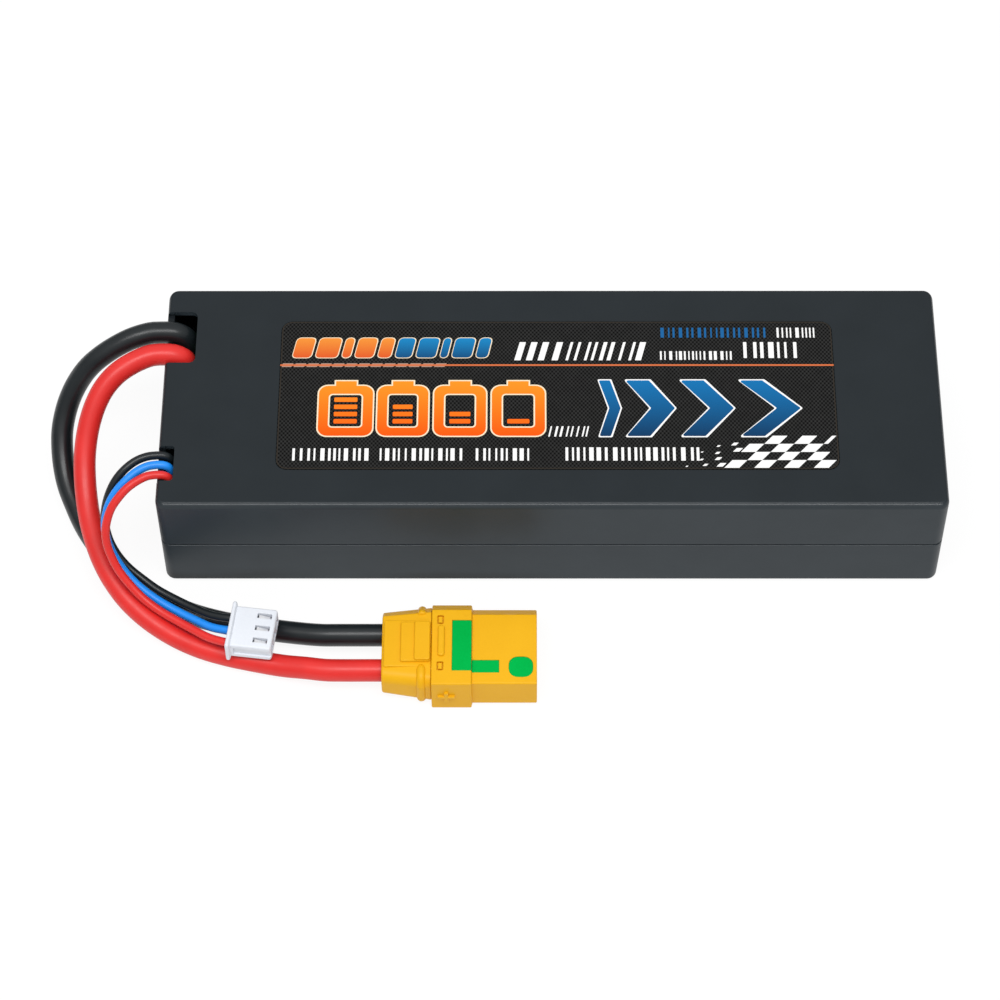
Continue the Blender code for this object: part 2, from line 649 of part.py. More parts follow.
def make_contact(pole, mouth, side, material, solder, frame):
    """A contact: a socket at its mouth and a solder cup, cut open on top, at its rear."""
    centre = (side * CONTACT_PITCH / 2, 0.0)
    socket_floor = 5.0 * MM
    cup_floor = -0.2 * MM
    turned = [
        (socket_floor, SOCKET_RADIUS), (mouth, SOCKET_RADIUS), (mouth, CONTACT_RADIUS),
        (CUP_END, CONTACT_RADIUS), (CUP_END, CUP_RADIUS), (cup_floor, CUP_RADIUS),
    ]
    loops = [across(circle(radius, centre), x) for x, radius in turned]
    contact = skin(f"contact_{pole}", loops, material, frame)
    y = centre[0]
    opening = block(
        f"cut_cup_{pole}",
        (CUP_END - 1 * MM, y - 3 * MM, 0.7 * MM),
        (CUP_END + 2.4 * MM, y + 3 * MM, 3 * MM),
        parent=frame,
    )
    cut(contact, opening)
    wire = circle(CUP_RADIUS - GAP, centre, 12)
    ends = [across(wire, x) for x in (CUP_END, cup_floor - GAP)]
    skin(f"cup_solder_{pole}", ends, solder, frame)


def make_connector_sheath(frame, material):
    """The rear cover, open towards the flange. It widens from its rear to its front."""
    rear = -SHEATH_LENGTH - GAP
    edge = 0.4 * MM
    inner_rear = rear + SHEATH_REAR_WALL

    def section(x, inset):
        share = (x - rear) / SHEATH_LENGTH
        sizes = [a + (b - a) * share for a, b in zip(SHEATH_REAR, SHEATH_FRONT)]
        return across(d_section(*sizes, inset), x)

    loops = [
        section(rear, edge),
        section(rear + edge, 0.0),
        section(-GAP, 0.0),
        section(-GAP, SHEATH_WALL),
        section(inner_rear, SHEATH_WALL),
    ]
    sheath = skin("connector_sheath", loops, material, frame)
    past = 1 * MM
    for side, pole in ((1, "black"), (-1, "red")):
        hole = circle(MAIN_DIAMETER / 2 + SHEATH_PLAY, (side * CONTACT_PITCH / 2, 0.0))
        ends = [across(hole, x) for x in (rear - past, inner_rear + past)]
        cut(sheath, skin(f"cut_lead_hole_{pole}", ends, parent=frame))


def make_main_connector(yellow, gold, solder, green, black):
    frame = make_empty("main_connector_frame", CONNECTOR_PLACE)
    make_connector_housing(frame, yellow)
    make_connector_sheath(frame, yellow)
    make_contact("negative", CONTACT_MOUTH, 1, gold, solder, frame)
    make_contact("positive", RING_X[0] - GAP, -1, gold, solder, frame)
    make_antispark_pieces(frame, green, black)


def make_balance_plug(white, metal):
    frame = make_empty("balance_plug_frame", PLUG_PLACE, PLUG_TURN)
    half = PLUG_LENGTH / 2
    edge = 0.4 * MM

    def section(width, height, x, radius):
        return across(rectangle(width, height, radius, steps=2), x)

    loops = [
        section(PLUG_FLANGE_WIDTH, PLUG_FLANGE_HEIGHT, -half - PLUG_FLANGE_LENGTH, edge),
        section(PLUG_FLANGE_WIDTH, PLUG_FLANGE_HEIGHT, -half, edge),
        section(PLUG_WIDTH, PLUG_THICKNESS, -half, edge),
        section(PLUG_WIDTH, PLUG_THICKNESS, half - edge, edge),
        section(PLUG_WIDTH - edge, PLUG_THICKNESS - edge, half, edge),
    ]
    plug = skin("balance_plug_housing", loops, white, frame)
    reach = half + PLUG_FLANGE_LENGTH + 1 * MM
    channel = PLUG_CHANNEL / 2
    slot_start, slot_end = half - 3.4 * MM, half - 0.8 * MM
    slot_half = 0.5 * MM
    for place, colour in ((1, "black"), (0, "blue"), (-1, "red")):
        y = place * PLUG_PITCH
        cut(plug, block(f"cut_channel_{colour}", (-reach, y - channel, -channel),
                        (reach, y + channel, channel), parent=frame))
        cut(plug, block(f"cut_slot_{colour}", (slot_start, y - slot_half, 0.0),
                        (slot_end, y + slot_half, PLUG_THICKNESS), parent=frame))
        make_plug_contact(colour, y, metal, frame)


def make_plug_contact(colour, y, metal, frame):
    """A crimp contact: a square box that is open at the plug's mouth."""
    outer = PLUG_CHANNEL - 2 * GAP
    inner = outer - 0.5 * MM
    mouth = PLUG_LENGTH / 2 - 0.6 * MM
    rear = -PLUG_LENGTH / 2 + 0.3 * MM
    sizes = [(inner, rear + 2.5 * MM), (inner, mouth), (outer, mouth), (outer, rear)]
    loops = [
        across(rectangle(size, size, 0.15 * MM, (y, 0.0), 1), x)
        for size, x in sizes
    ]
    skin(f"plug_contact_{colour}", loops, metal, frame)


def make_inside(lead_colours, solder):
    pouch = make_material("pouch_film", (0.62, 0.63, 0.65), 0.35, 0.9)
    nickel = make_material("nickel", (0.66, 0.64, 0.60), 0.3, 1.0)
    foam = make_material("foam", (0.55, 0.55, 0.53), 0.95)
    adhesive = make_material("adhesive", (0.82, 0.80, 0.72), 0.6)
    board = make_material("circuit_board", (0.03, 0.20, 0.09), 0.45)
    make_pads(foam, adhesive)
    for level_name, base, order in (
        ("lower", LOWER_CELL_Z, {"negative": 1, "positive": -1}),
        ("upper", UPPER_CELL_Z, {"positive": 1, "negative": -1}),
    ):
        make_cell(f"cell_{level_name}", base, pouch)
        for pole, side in order.items():
            make_tab(f"{level_name}_cell_tab_{pole}", base, side * TAB_OFFSET, nickel)
    make_series_link(nickel)
    make_board(board)
    make_main_tail("black", BLACK_EXIT_Y, lead_colours["black"], solder)
    make_main_tail("red", RED_EXIT_Y, lead_colours["red"], solder)
    for colour in BALANCE_EXIT_Y:
        make_balance_tail(colour, lead_colours[colour], solder)


def main():
    clear_scene()
    case_plastic = make_material("case_plastic", (0.028, 0.031, 0.034), 0.5)
    label_film = make_material("label_film", (0.012, 0.012, 0.013), 0.3)
    solder = make_material("solder", (0.70, 0.70, 0.72), 0.3, 1.0)
    lead_colours = {
        "black": make_material("black_silicone", (0.012, 0.013, 0.014), 0.4),
        "red": make_material("red_silicone", (0.85, 0.035, 0.028), 0.4),
        "blue": make_material("blue_silicone", (0.02, 0.22, 0.80), 0.4),
    }
    make_lower_case(case_plastic)
    make_upper_case(case_plastic)
    make_label(label_film)
    make_inside(lead_colours, solder)
    make_free_leads(lead_colours)
    yellow = make_material("yellow_nylon", (0.90, 0.48, 0.03), 0.45)
    gold = make_material("gold_plate", (0.95, 0.68, 0.28), 0.25, 1.0)
    green = make_material("green_nylon", (0.0, 0.48, 0.08), 0.45)
    black = make_material("resistor_black", (0.02, 0.02, 0.02), 0.5)
    make_main_connector(yellow, gold, solder, green, black)
    white = make_material("white_nylon", (0.82, 0.84, 0.87), 0.5)
    tin = make_material("tin_plate", (0.75, 0.75, 0.76), 0.3, 1.0)
    make_balance_plug(white, tin)


main()
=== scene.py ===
"""Looks for a hard-case lithium polymer battery pack with its leads, main connector and balance plug."""

import json
import math
import random

import bmesh
import bpy
from mathutils import Matrix, Vector


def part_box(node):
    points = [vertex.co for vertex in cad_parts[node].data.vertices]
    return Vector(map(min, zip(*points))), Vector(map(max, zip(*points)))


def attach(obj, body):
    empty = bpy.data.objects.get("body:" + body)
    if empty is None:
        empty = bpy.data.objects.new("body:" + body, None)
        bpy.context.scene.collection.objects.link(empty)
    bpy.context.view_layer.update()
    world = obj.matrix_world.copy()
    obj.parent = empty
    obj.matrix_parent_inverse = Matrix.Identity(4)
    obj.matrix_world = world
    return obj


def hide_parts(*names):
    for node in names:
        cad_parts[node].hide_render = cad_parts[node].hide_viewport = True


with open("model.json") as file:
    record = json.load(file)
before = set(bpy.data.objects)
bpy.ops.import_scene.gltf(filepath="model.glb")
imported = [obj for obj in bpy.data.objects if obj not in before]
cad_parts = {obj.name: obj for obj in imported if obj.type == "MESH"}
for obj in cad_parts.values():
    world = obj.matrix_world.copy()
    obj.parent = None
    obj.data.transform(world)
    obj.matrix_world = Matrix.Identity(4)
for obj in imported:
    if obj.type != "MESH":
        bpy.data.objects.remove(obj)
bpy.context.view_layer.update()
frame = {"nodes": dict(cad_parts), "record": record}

MM = 0.001


def mm(*values):
    """Lengths given in millimetres."""
    return tuple(value * MM for value in values)


# Camera: at the height and distance of a product photographer's, with a long lens
CAMERA_PLACE = (-0.00576, -0.34621, 0.51356)
CAMERA_DOWN = math.radians(56.488)
CAMERA_YAW = math.radians(-0.578)
CAMERA_ROLL = math.radians(-0.48)
CAMERA_LENS = 121.8

# Stage: a paper that is lit from below, so that the object throws no shadow on it
FLOOR_GLOW = 0.91
HORIZON_GLOW = 0.3
SKY_GLOW = 0.85

# Case
CASE_WALL = 1.2 * MM
CASE_CORNER = 1.8 * MM
CASE_EDGE = 1.0 * MM
TOP_EDGE = 0.65 * MM  # the top's edge, down to TOP_EDGE_TURN, and then the slower curve to the side
TOP_EDGE_SIDE = 2.2 * MM
TOP_EDGE_TURN = math.radians(60)
SEAM_HEIGHT = 11.8 * MM
SEAM_GAP = 0.3 * MM
SEAM_EDGE = 0.15 * MM
LIP_THICKNESS = 0.45 * MM
LIP_HEIGHT = 0.95 * MM
RECESS_DEPTH = 0.4 * MM
RECESS_MARGIN = 0.04 * MM
LABEL_CORNER = 2.0 * MM
MAIN_NOTCH_Y = mm(7.0, 18.2)
MAIN_NOTCH_DEPTH = 5.5 * MM
MAIN_SADDLE_END = 16.9 * MM
BALANCE_NOTCH_Y = mm(-18.3, -11.0)
BALANCE_NOTCH_DEPTH = 2.9 * MM
NOTCH_STEP = 1.1 * MM
SADDLE_ROOM = 0.6 * MM

# Leads
MAIN_DIAMETER = 4.0 * MM
BALANCE_DIAMETER = 1.5 * MM
MAIN_TAIL_X = -65.3 * MM
MAIN_ELBOW = 3.4 * MM
MAIN_EXIT_Z = 23.5 * MM
MAIN_TAIL_FOOT = {"black": 8 * MM, "red": 13 * MM}
BALANCE_TAIL_X = -66.8 * MM
BALANCE_ELBOW = 1.7 * MM
BALANCE_EXIT_Z = 24.0 * MM
BALANCE_TAIL_FOOT = 15 * MM

# Main connector, in its own frame: x from the flange's rear face towards the mouth
CONTACT_PITCH = 7.2 * MM
CONTACT_RADIUS = 2.15 * MM
SOCKET_RADIUS = 1.75 * MM
CUP_RADIUS = 1.65 * MM
CUP_END = -4.2 * MM
CONTACT_MOUTH = 17.8 * MM
RING_X = mm(15.7, 18.1)
FLANGE_LENGTH = 7.0 * MM
FLANGE_HALF_WIDTH = 8.8 * MM
FLANGE_HALF_HEIGHT = 4.1 * MM
BODY_HALF_WIDTH = 8.25 * MM
BODY_HALF_HEIGHT = 3.4 * MM
BODY_CHAMFER = 2.5 * MM
HOUSING_LENGTH = 18.4 * MM
SHEATH_LENGTH = 8.4 * MM
SHEATH_REAR = mm(-7.0, 7.4, 3.2, 1.9)
SHEATH_FRONT = mm(-8.2, 8.4, 3.65, 2.3)
SHEATH_FRONT_RADIUS = 2.0 * MM
SHEATH_REAR_WALL = 1.1 * MM
SHEATH_WALL = 0.6 * MM
SHEATH_PLAY = 0.35 * MM
INSERT_DEPTH = 0.5 * MM
# Green pieces: name, CAD node, two corners, top, corner radius and that of the pocket
GREEN_PIECES = (
    ("spark_plate_flange", "antispark_insert_flange", mm(3.6, -6.0), mm(7.0, 4.2),
     FLANGE_HALF_HEIGHT, *mm(0.25, 0.0)),
    ("spark_plate_body", "antispark_insert_body", mm(7.04, -6.0), mm(11.8, -3.5),
     BODY_HALF_HEIGHT, *mm(0.25, 0.0)),
    ("spark_button", "antispark_button", mm(13.5, -6.9), mm(17.7, -2.8),
     BODY_HALF_HEIGHT, *mm(1.6, 1.6)),
)
RESISTOR_CORNERS = (mm(4.4, -1.0, 2.5), mm(6.2, 0.4, 3.1))
# Engraved frames on the flange's top: from x, to x, from y, to y, corner radius
FLANGE_FRAMES = (
    mm(0.95, 2.15, 3.4, 5.2, 0.25),
    mm(0.95, 2.15, -6.0, -4.2, 0.25),
)
FLANGE_BAR = (mm(1.1, -3.2, 3.9), mm(2.3, 3.0, 4.6))
# Steps of the sheath's panel: lowest and highest corner
SHEATH_STEPS = (
    (mm(-8.35, -4.9, 2.9), mm(-0.2, 4.5, 3.65)),
    (mm(-5.4, -4.1, 2.95), mm(-0.22, 3.9, 4.15)),
    (mm(-3.0, -4.0, 3.0), mm(-0.24, 3.8, 4.6)),
)
UNDERSIDE_RISE = 0.4  # of the panels' rise on the top: the connector lies on its flange
SHEATH_BEAD_X = -1.75 * MM
SHEATH_BEAD_RADIUS = 0.85 * MM
SHEATH_BEAD_ENDS = mm(-4.4, 5.5)  # across y: the beads lie in front of and behind these

# Balance plug, in its own frame: x along the contacts, towards the mouth
PLUG_PITCH = 2.5 * MM
PLUG_LENGTH = 7.3 * MM
PLUG_WIDTH = 8.2 * MM
PLUG_THICKNESS = 3.8 * MM
PLUG_FLANGE_LENGTH = 0.7 * MM
PLUG_FLANGE = mm(9.4, 4.9)

# Prints on the label, in millimetres from its middle
INK = 0.012 * MM
CELL_PRINT_Y = (-9.2, 3.1)
CELL_CHARGES = (4, 3, 2, 1)
CELL_PRINTS_X = ((-42.4, -32.3), (-32.0, -22.5), (-22.0, -12.3), (-11.8, -1.9))
CHEVRON_PRINT_Y = (-9.0, 3.0)
CHEVRON_PRINTS = ((7.4, 11.2, 2.0), (12.1, 20.8, 4.2), (21.8, 31.2, 4.2), (32.2, 43.0, 4.2))
LINE_DASHES_END = -19.7
# Rows of marks: left, right, bottom, top, slant
WHITE_WORDS = (
    (-7.6, 15.0, 7.4, 11.4, 0.25),
    (39.4, 46.6, 12.4, 14.6, 0.0),
    (18.4, 31.8, 7.5, 9.4, 0.0),
    (33.3, 43.6, 7.9, 11.4, 0.0),
    (-1.6, 5.9, -9.1, -6.9, 0.2),
    (-46.4, -32.9, -14.2, -11.6, 0.0),
    (-31.1, -16.2, -14.2, -11.6, 0.0),
    (-14.3, -4.5, -14.2, -11.6, 0.0),
    (1.4, 25.6, -14.2, -11.4, 0.0),
)
# Slanting bars: bottom and top; left, right and colour of each
BAR_PRINT_Y = (8.0, 12.3)
BAR_PRINTS = (
    (-47.2, -43.9, "orange"), (-43.1, -39.2, "orange"), (-38.4, -36.9, "orange"),
    (-36.1, -32.8, "orange"), (-32.0, -29.7, "orange"), (-28.9, -26.0, "blue"),
    (-25.2, -21.7, "blue"), (-20.9, -19.6, "blue"), (-18.8, -15.3, "blue"),
    (-14.5, -12.4, "blue"),
)
BLUE_WORDS = ((18.6, 37.8, 12.4, 14.6, 0.0),)

# Routes of the free leads, from the case to what they end in
MAIN_ROUTES = {
    "black": [
        (-0.0692, 0.0144, 0.0235), (-0.0705, 0.01438, 0.0235), (-0.0722, 0.0142, 0.0235),
        (-0.0751, 0.0135, 0.0230),
        (-0.0780, 0.0126, 0.0219), (-0.0808, 0.0116, 0.0203), (-0.0833, 0.0105, 0.0183),
        (-0.0853, 0.0092, 0.0159), (-0.0869, 0.0075, 0.0134), (-0.0880, 0.0054, 0.0110),
        (-0.0886, 0.0029, 0.0089), (-0.0886, 0.0001, 0.0070), (-0.0882, -0.0028, 0.0054),
        (-0.0874, -0.0058, 0.0041), (-0.0860, -0.0091, 0.0030), (-0.0843, -0.0127, 0.0023),
        (-0.0821, -0.0164, 0.0021), (-0.0794, -0.0201, 0.0021), (-0.0763, -0.0236, 0.0021),
        (-0.0727, -0.0268, 0.0021), (-0.0685, -0.0296, 0.0021), (-0.0639, -0.0318, 0.0021),
        (-0.0589, -0.0334, 0.0021), (-0.0537, -0.0345, 0.0021), (-0.0487, -0.0355, 0.0025),
        (-0.0443, -0.0365, 0.0032), (-0.0406, -0.0372, 0.0038), (-0.0375, -0.0374, 0.0041),
        (-0.0310, -0.0374, 0.0041), (-0.0255, -0.0374, 0.0041),
    ],
    "red": [
        (-0.0692, 0.0095, 0.0235), (-0.0704, 0.00947, 0.0235), (-0.0721, 0.0091, 0.0235),
        (-0.0749, 0.0080, 0.0229),
        (-0.0776, 0.0064, 0.0220), (-0.0798, 0.0044, 0.0206), (-0.0814, 0.0021, 0.0188),
        (-0.0825, -0.0004, 0.0168), (-0.0832, -0.0031, 0.0147), (-0.0835, -0.0060, 0.0127),
        (-0.0834, -0.0091, 0.0109), (-0.0830, -0.0124, 0.0094), (-0.0823, -0.0159, 0.0082),
        (-0.0812, -0.0196, 0.0073), (-0.0797, -0.0233, 0.0065), (-0.0776, -0.0270, 0.0056),
        (-0.0748, -0.0305, 0.0045), (-0.0712, -0.0336, 0.0034), (-0.0669, -0.0363, 0.0025),
        (-0.0621, -0.0386, 0.0021), (-0.0571, -0.0403, 0.0021), (-0.0521, -0.0415, 0.0021),
        (-0.0473, -0.0427, 0.0025), (-0.0430, -0.0437, 0.0034), (-0.0398, -0.0444, 0.0039),
        (-0.0370, -0.0446, 0.0041), (-0.0310, -0.0446, 0.0041), (-0.0255, -0.0446, 0.0041),
    ],
}
BALANCE_ROUTES = {
    "black": [
        (-0.0692, -0.0127, 0.0240), (-0.0709, -0.01295, 0.0240), (-0.0728, -0.01365, 0.0237),
        (-0.0747, -0.0149, 0.0230), (-0.0763, -0.0163, 0.0218), (-0.0775, -0.0177, 0.0200),
        (-0.0783, -0.0190, 0.0178), (-0.0787, -0.0202, 0.0154), (-0.0785, -0.0214, 0.0130),
        (-0.0778, -0.0227, 0.0108), (-0.0765, -0.0241, 0.0088), (-0.0747, -0.0255, 0.0072),
        (-0.0724, -0.0270, 0.0061), (-0.0697, -0.0288, 0.0054), (-0.0665, -0.0306, 0.0051),
        (-0.0631, -0.0325, 0.0052), (-0.0599, -0.0343, 0.0058), (-0.0565, -0.0355, 0.0067),
    ],
    "blue": [
        (-0.0692, -0.0147, 0.0240), (-0.0708, -0.01505, 0.0240), (-0.0726, -0.01595, 0.0237),
        (-0.0743, -0.0172, 0.0230), (-0.0759, -0.0185, 0.0219), (-0.0772, -0.0198, 0.0203),
        (-0.0780, -0.0210, 0.0184), (-0.0784, -0.0221, 0.0164), (-0.0783, -0.0233, 0.0141),
        (-0.0776, -0.0246, 0.0119), (-0.0764, -0.0260, 0.0098), (-0.0746, -0.0277, 0.0080),
        (-0.0723, -0.0294, 0.0066), (-0.0694, -0.0312, 0.0056), (-0.0660, -0.0331, 0.0051),
        (-0.0627, -0.0350, 0.0052), (-0.0598, -0.0368, 0.0058), (-0.0568, -0.0380, 0.0067),
    ],
    "red": [
        (-0.0692, -0.0168, 0.0240), (-0.0707, -0.0171, 0.0240), (-0.0724, -0.0179, 0.0237),
        (-0.0741, -0.0190, 0.0231), (-0.0756, -0.0203, 0.0221), (-0.0769, -0.0216, 0.0207),
        (-0.0777, -0.0229, 0.0190), (-0.0781, -0.0241, 0.0171), (-0.0780, -0.0253, 0.0150),
        (-0.0773, -0.0266, 0.0127), (-0.0761, -0.0281, 0.0105), (-0.0742, -0.0298, 0.0085),
        (-0.0719, -0.0316, 0.0069), (-0.0690, -0.0335, 0.0059), (-0.0657, -0.0355, 0.0056),
        (-0.0627, -0.0374, 0.0057), (-0.0601, -0.0391, 0.0061), (-0.0571, -0.0404, 0.0067),
    ],
}


# -------- node materials


def new_material(name, roughness=0.5, metallic=0.0, **sockets):
    """A material, its tree and its shader. Further sockets are named in words joined by _."""
    material = bpy.data.materials.new(name)
    material.use_nodes = True
    shader = material.node_tree.nodes["Principled BSDF"]
    shader.inputs["Roughness"].default_value = roughness
    shader.inputs["Metallic"].default_value = metallic
    for words, value in sockets.items():
        shader.inputs[words.replace("_", " ").title().replace("Ior", "IOR")].default_value = value
    return material, material.node_tree, shader


def put(socket, value):
    """A link if value is a socket, and a constant if it is a number or a colour."""
    if isinstance(value, bpy.types.NodeSocket):
        socket.id_data.links.new(value, socket)
    elif isinstance(value, tuple) and len(value) == 3 and socket.type == "RGBA":
        socket.default_value = (*value, 1.0)
    else:
        socket.default_value = value


def math_node(tree, operation, *values):
    node = tree.nodes.new("ShaderNodeMath")
    node.operation = operation
    for socket, value in zip(node.inputs, values):
        put(socket, value)
    return node.outputs[0]


def place_coordinates(tree, kind="Object"):
    return tree.nodes.new("ShaderNodeTexCoord").outputs[kind]


def place_axes(tree, kind="Object"):
    """The X, Y and Z of the coordinates, each on its own."""
    split = tree.nodes.new("ShaderNodeSeparateXYZ")
    put(split.inputs[0], place_coordinates(tree, kind))
    return split.outputs


def stretched(tree, scale):
    """The object's coordinates, each multiplied by its own number."""
    node = tree.nodes.new("ShaderNodeMapping")
    put(node.inputs["Vector"], place_coordinates(tree))
    node.inputs["Scale"].default_value = scale
    return node.outputs[0]


def noise(tree, grain, detail=2.0, coordinates=None):
    """Noise whose blotches are about grain metres across."""
    node = tree.nodes.new("ShaderNodeTexNoise")
    put(node.inputs["Vector"], coordinates or place_coordinates(tree))
    node.inputs["Scale"].default_value = 1.0 / grain
    node.inputs["Detail"].default_value = detail
    return node.outputs["Fac"]


def spread(tree, factor, low, high, start=0.3, end=0.7):
    """Maps a factor between start and end to values from low to high."""
    node = tree.nodes.new("ShaderNodeMapRange")
    for socket, value in zip(node.inputs, (factor, start, end, low, high)):
        put(socket, value)
    return node.outputs[0]


def tint(shader, factor, dark, light):
    """The surface's colour: dark where the factor is 0, and light where it is 1."""
    node = shader.id_data.nodes.new("ShaderNodeMix")
    node.data_type = "RGBA"
    for socket, value in ((0, factor), (6, dark), (7, light)):
        put(node.inputs[socket], value)
    put(shader.inputs["Base Color"], node.outputs[2])


def gloss(shader, factor, low, high):
    """The surface's roughness, which follows a noise from low to high."""
    put(shader.inputs["Roughness"], spread(shader.id_data, factor, low, high))


def relief(shader, height, depth, under=None):
    """Bump of a real depth in metres, over another one if there is one."""
    node = shader.id_data.nodes.new("ShaderNodeBump")
    node.inputs["Distance"].default_value = depth
    put(node.inputs["Height"], height)
    if under:
        put(node.inputs["Normal"], under)
    put(shader.inputs["Normal"], node.outputs[0])
    return node.outputs[0]


def moulded_plastic(name, dark, light, roughness, grain=0.12 * MM, depth=0.006 * MM, **sockets):
    """Plastic from a mould with a fine eroded texture, with faint flow marks in its colour."""
    material, tree, shader = new_material(name, roughness, **sockets)
    flow = noise(tree, 9 * MM, 3.0)
    speckle = noise(tree, 0.35 * MM, 2.0)
    shade = math_node(tree, "MULTIPLY_ADD", speckle, 0.35, math_node(tree, "MULTIPLY", flow, 0.65))
    tint(shader, spread(tree, shade, 0.0, 1.0), dark, light)
    gloss(shader, noise(tree, 2.5 * MM, 3.0), roughness - 0.02, roughness + 0.02)
    relief(shader, noise(tree, grain, 3.0), depth)
    return material


def silicone(name, dark, light, roughness):
    """The jacket of a lead: smooth, with the slow swellings and faint streaks of its extrusion."""
    material, tree, shader = new_material(name, roughness, specular_ior_level=0.4)
    tint(shader, spread(tree, noise(tree, 7 * MM, 3.0), 0.0, 1.0), dark, light)
    gloss(shader, noise(tree, 2.0 * MM, 2.0), roughness - 0.04, roughness + 0.04)
    slow = relief(shader, noise(tree, 3 * MM, 1.0), 0.02 * MM)
    relief(shader, noise(tree, 0.3 * MM, 1.0), 0.0015 * MM, under=slow)
    return material


def plated_metal(name, dark, light, roughness, stretch=(1.0, 1.0, 1.0)):
    """Plate with fine drawing marks, which run along the axis that stretch makes small."""
    material, tree, shader = new_material(name, roughness, 1.0)
    scratch = noise(tree, 0.15 * MM, 4.0, stretched(tree, stretch))
    tint(shader, spread(tree, noise(tree, 1.5 * MM), 0.0, 1.0), dark, light)
    gloss(shader, scratch, roughness - 0.08, roughness + 0.10)
    relief(shader, scratch, 0.006 * MM)
    return material


def carbon_weave(name, steps, dark, light, roughness):
    """A printed weave under a clear film: bundles that pass over and under each other in turn."""
    material, tree, shader = new_material(name, roughness, specular_ior_level=0.08)
    waves = [
        math_node(tree, "SINE", math_node(tree, "MULTIPLY", way, math.pi / step))
        for way, step in zip(place_axes(tree), steps)
    ]
    height = math_node(tree, "MULTIPLY_ADD", math_node(tree, "MULTIPLY", *waves), 0.5, 0.5)
    grime = spread(tree, noise(tree, 1.5 * MM, 3.0), 0.8, 1.1)
    shade = math_node(tree, "MULTIPLY", spread(tree, height, 0.0, 1.0, 0.2, 0.8), grime)
    tint(shader, shade, dark, light)
    gloss(shader, noise(tree, 4 * MM, 3.0), roughness - 0.04, roughness + 0.05)
    relief(shader, height, 0.004 * MM)
    return material


def printed_ink(name, low_colour, high_colour, low_y=0.0, high_y=1.0):
    """Ink that fades from one colour to another along Y, with a faint print grain."""
    material, tree, shader = new_material(name, specular_ior_level=0.1)
    fade = spread(tree, place_axes(tree)[1], 0.0, 1.0, low_y, high_y)
    grain = noise(tree, 0.12 * MM)
    share = math_node(tree, "MULTIPLY_ADD", math_node(tree, "SUBTRACT", grain, 0.5), 0.25, fade)
    tint(shader, share, low_colour, high_colour)
    gloss(shader, grain, 0.35, 0.45)
    relief(shader, grain, 0.002 * MM)
    return material


def foam_like(name, dark, light, cell):
    material, tree, shader = new_material(name, 0.95)
    node = tree.nodes.new("ShaderNodeTexVoronoi")
    put(node.inputs["Vector"], place_coordinates(tree))
    node.inputs["Scale"].default_value = 1.0 / cell
    tint(shader, node.outputs[0], dark, light)
    relief(shader, node.outputs[0], 0.15 * MM)
    return material


def pouch_film():
    """Laminated foil, drawn tight over the cell, with soft creases."""
    material, tree, shader = new_material("pouch_film", 0.35, 0.9)
    crease = noise(tree, 14 * MM, 5.0, stretched(tree, (0.4, 1.0, 1.0)))
    tint(shader, crease, (0.50, 0.51, 0.54), (0.68, 0.69, 0.71))
    gloss(shader, noise(tree, 2 * MM), 0.28, 0.42)
    relief(shader, crease, 0.5 * MM)
    return material


def board_mask():
    """Green solder mask over fibreglass, with the glass weave showing faintly."""
    material, tree, shader = new_material("board_mask", 0.4)
    weave = noise(tree, 0.6 * MM, 2.0, stretched(tree, (1.0, 1.0, 0.3)))
    tint(shader, weave, (0.012, 0.11, 0.045), (0.03, 0.22, 0.09))
    gloss(shader, weave, 0.32, 0.46)
    relief(shader, weave, 0.02 * MM)
    return material


# -------- outlines and meshes


def arc(centre, radius, start, sweep, steps):
    """Points along an arc that starts at one angle and sweeps through another."""
    angles = [start + sweep * step / steps for step in range(steps + 1)]
    return [
        Vector((centre[0] + radius * math.cos(a), centre[1] + radius * math.sin(a))) for a in angles
    ]


def rounded_corners(corners, radii, steps=6):
    """A flat polygon's corners, given in order, each replaced by an arc of its own radius."""
    outline = []
    for index, (corner, radius) in enumerate(zip(corners, radii)):
        here = Vector(corner)
        before = (Vector(corners[index - 1]) - here).normalized()
        after = (Vector(corners[(index + 1) % len(corners)]) - here).normalized()
        half = before.angle(after) / 2
        centre = here + (before + after).normalized() * (radius / math.sin(half))
        start = here + before * (radius / math.tan(half)) - centre
        sweep = math.copysign(math.pi - 2 * half, before.x * after.y - before.y * after.x)
        outline += arc(centre, radius, math.atan2(start.y, start.x), -sweep, steps)
    return outline


def rectangle(length, width, radius, centre=(0.0, 0.0), steps=6):
    """A rounded rectangle about a centre, anticlockwise."""
    x, y = centre
    a, b = length / 2, width / 2
    corners = [(x - a, y - b), (x + a, y - b), (x + a, y + b), (x - a, y + b)]
    return rounded_corners(corners, [radius] * 4, steps)


def d_section(front, back, half_height, chamfer, inset=0.0, radius=0.3 * MM, front_radius=0.3 * MM):
    """The connector's section across its axis: square at the front (-Y), chamfered at the back."""
    y0, y1 = front + inset, back - inset
    z = half_height - inset
    c = chamfer - inset * (2 - math.sqrt(2))
    corners = [(y0, -z), (y1 - c, -z), (y1, -z + c), (y1, z - c), (y1 - c, z), (y0, z)]
    return rounded_corners(corners, [front_radius, *[radius] * 4, front_radius])


def circle(radius, centre=(0.0, 0.0), sides=48):
    return arc(centre, radius, 0.0, 2 * math.pi, sides)[:-1]


def level(outline, z):
    """An outline drawn in XY, laid at a height."""
    return [Vector((p.x, p.y, z)) for p in outline]


def across(outline, x):
    """An outline drawn in YZ, stood at a place along X."""
    return [Vector((x, p.x, p.y)) for p in outline]


def facing_front(outline, y):
    """An outline drawn in XZ, stood at a place along Y."""
    return [Vector((p.x, y, p.y)) for p in outline]


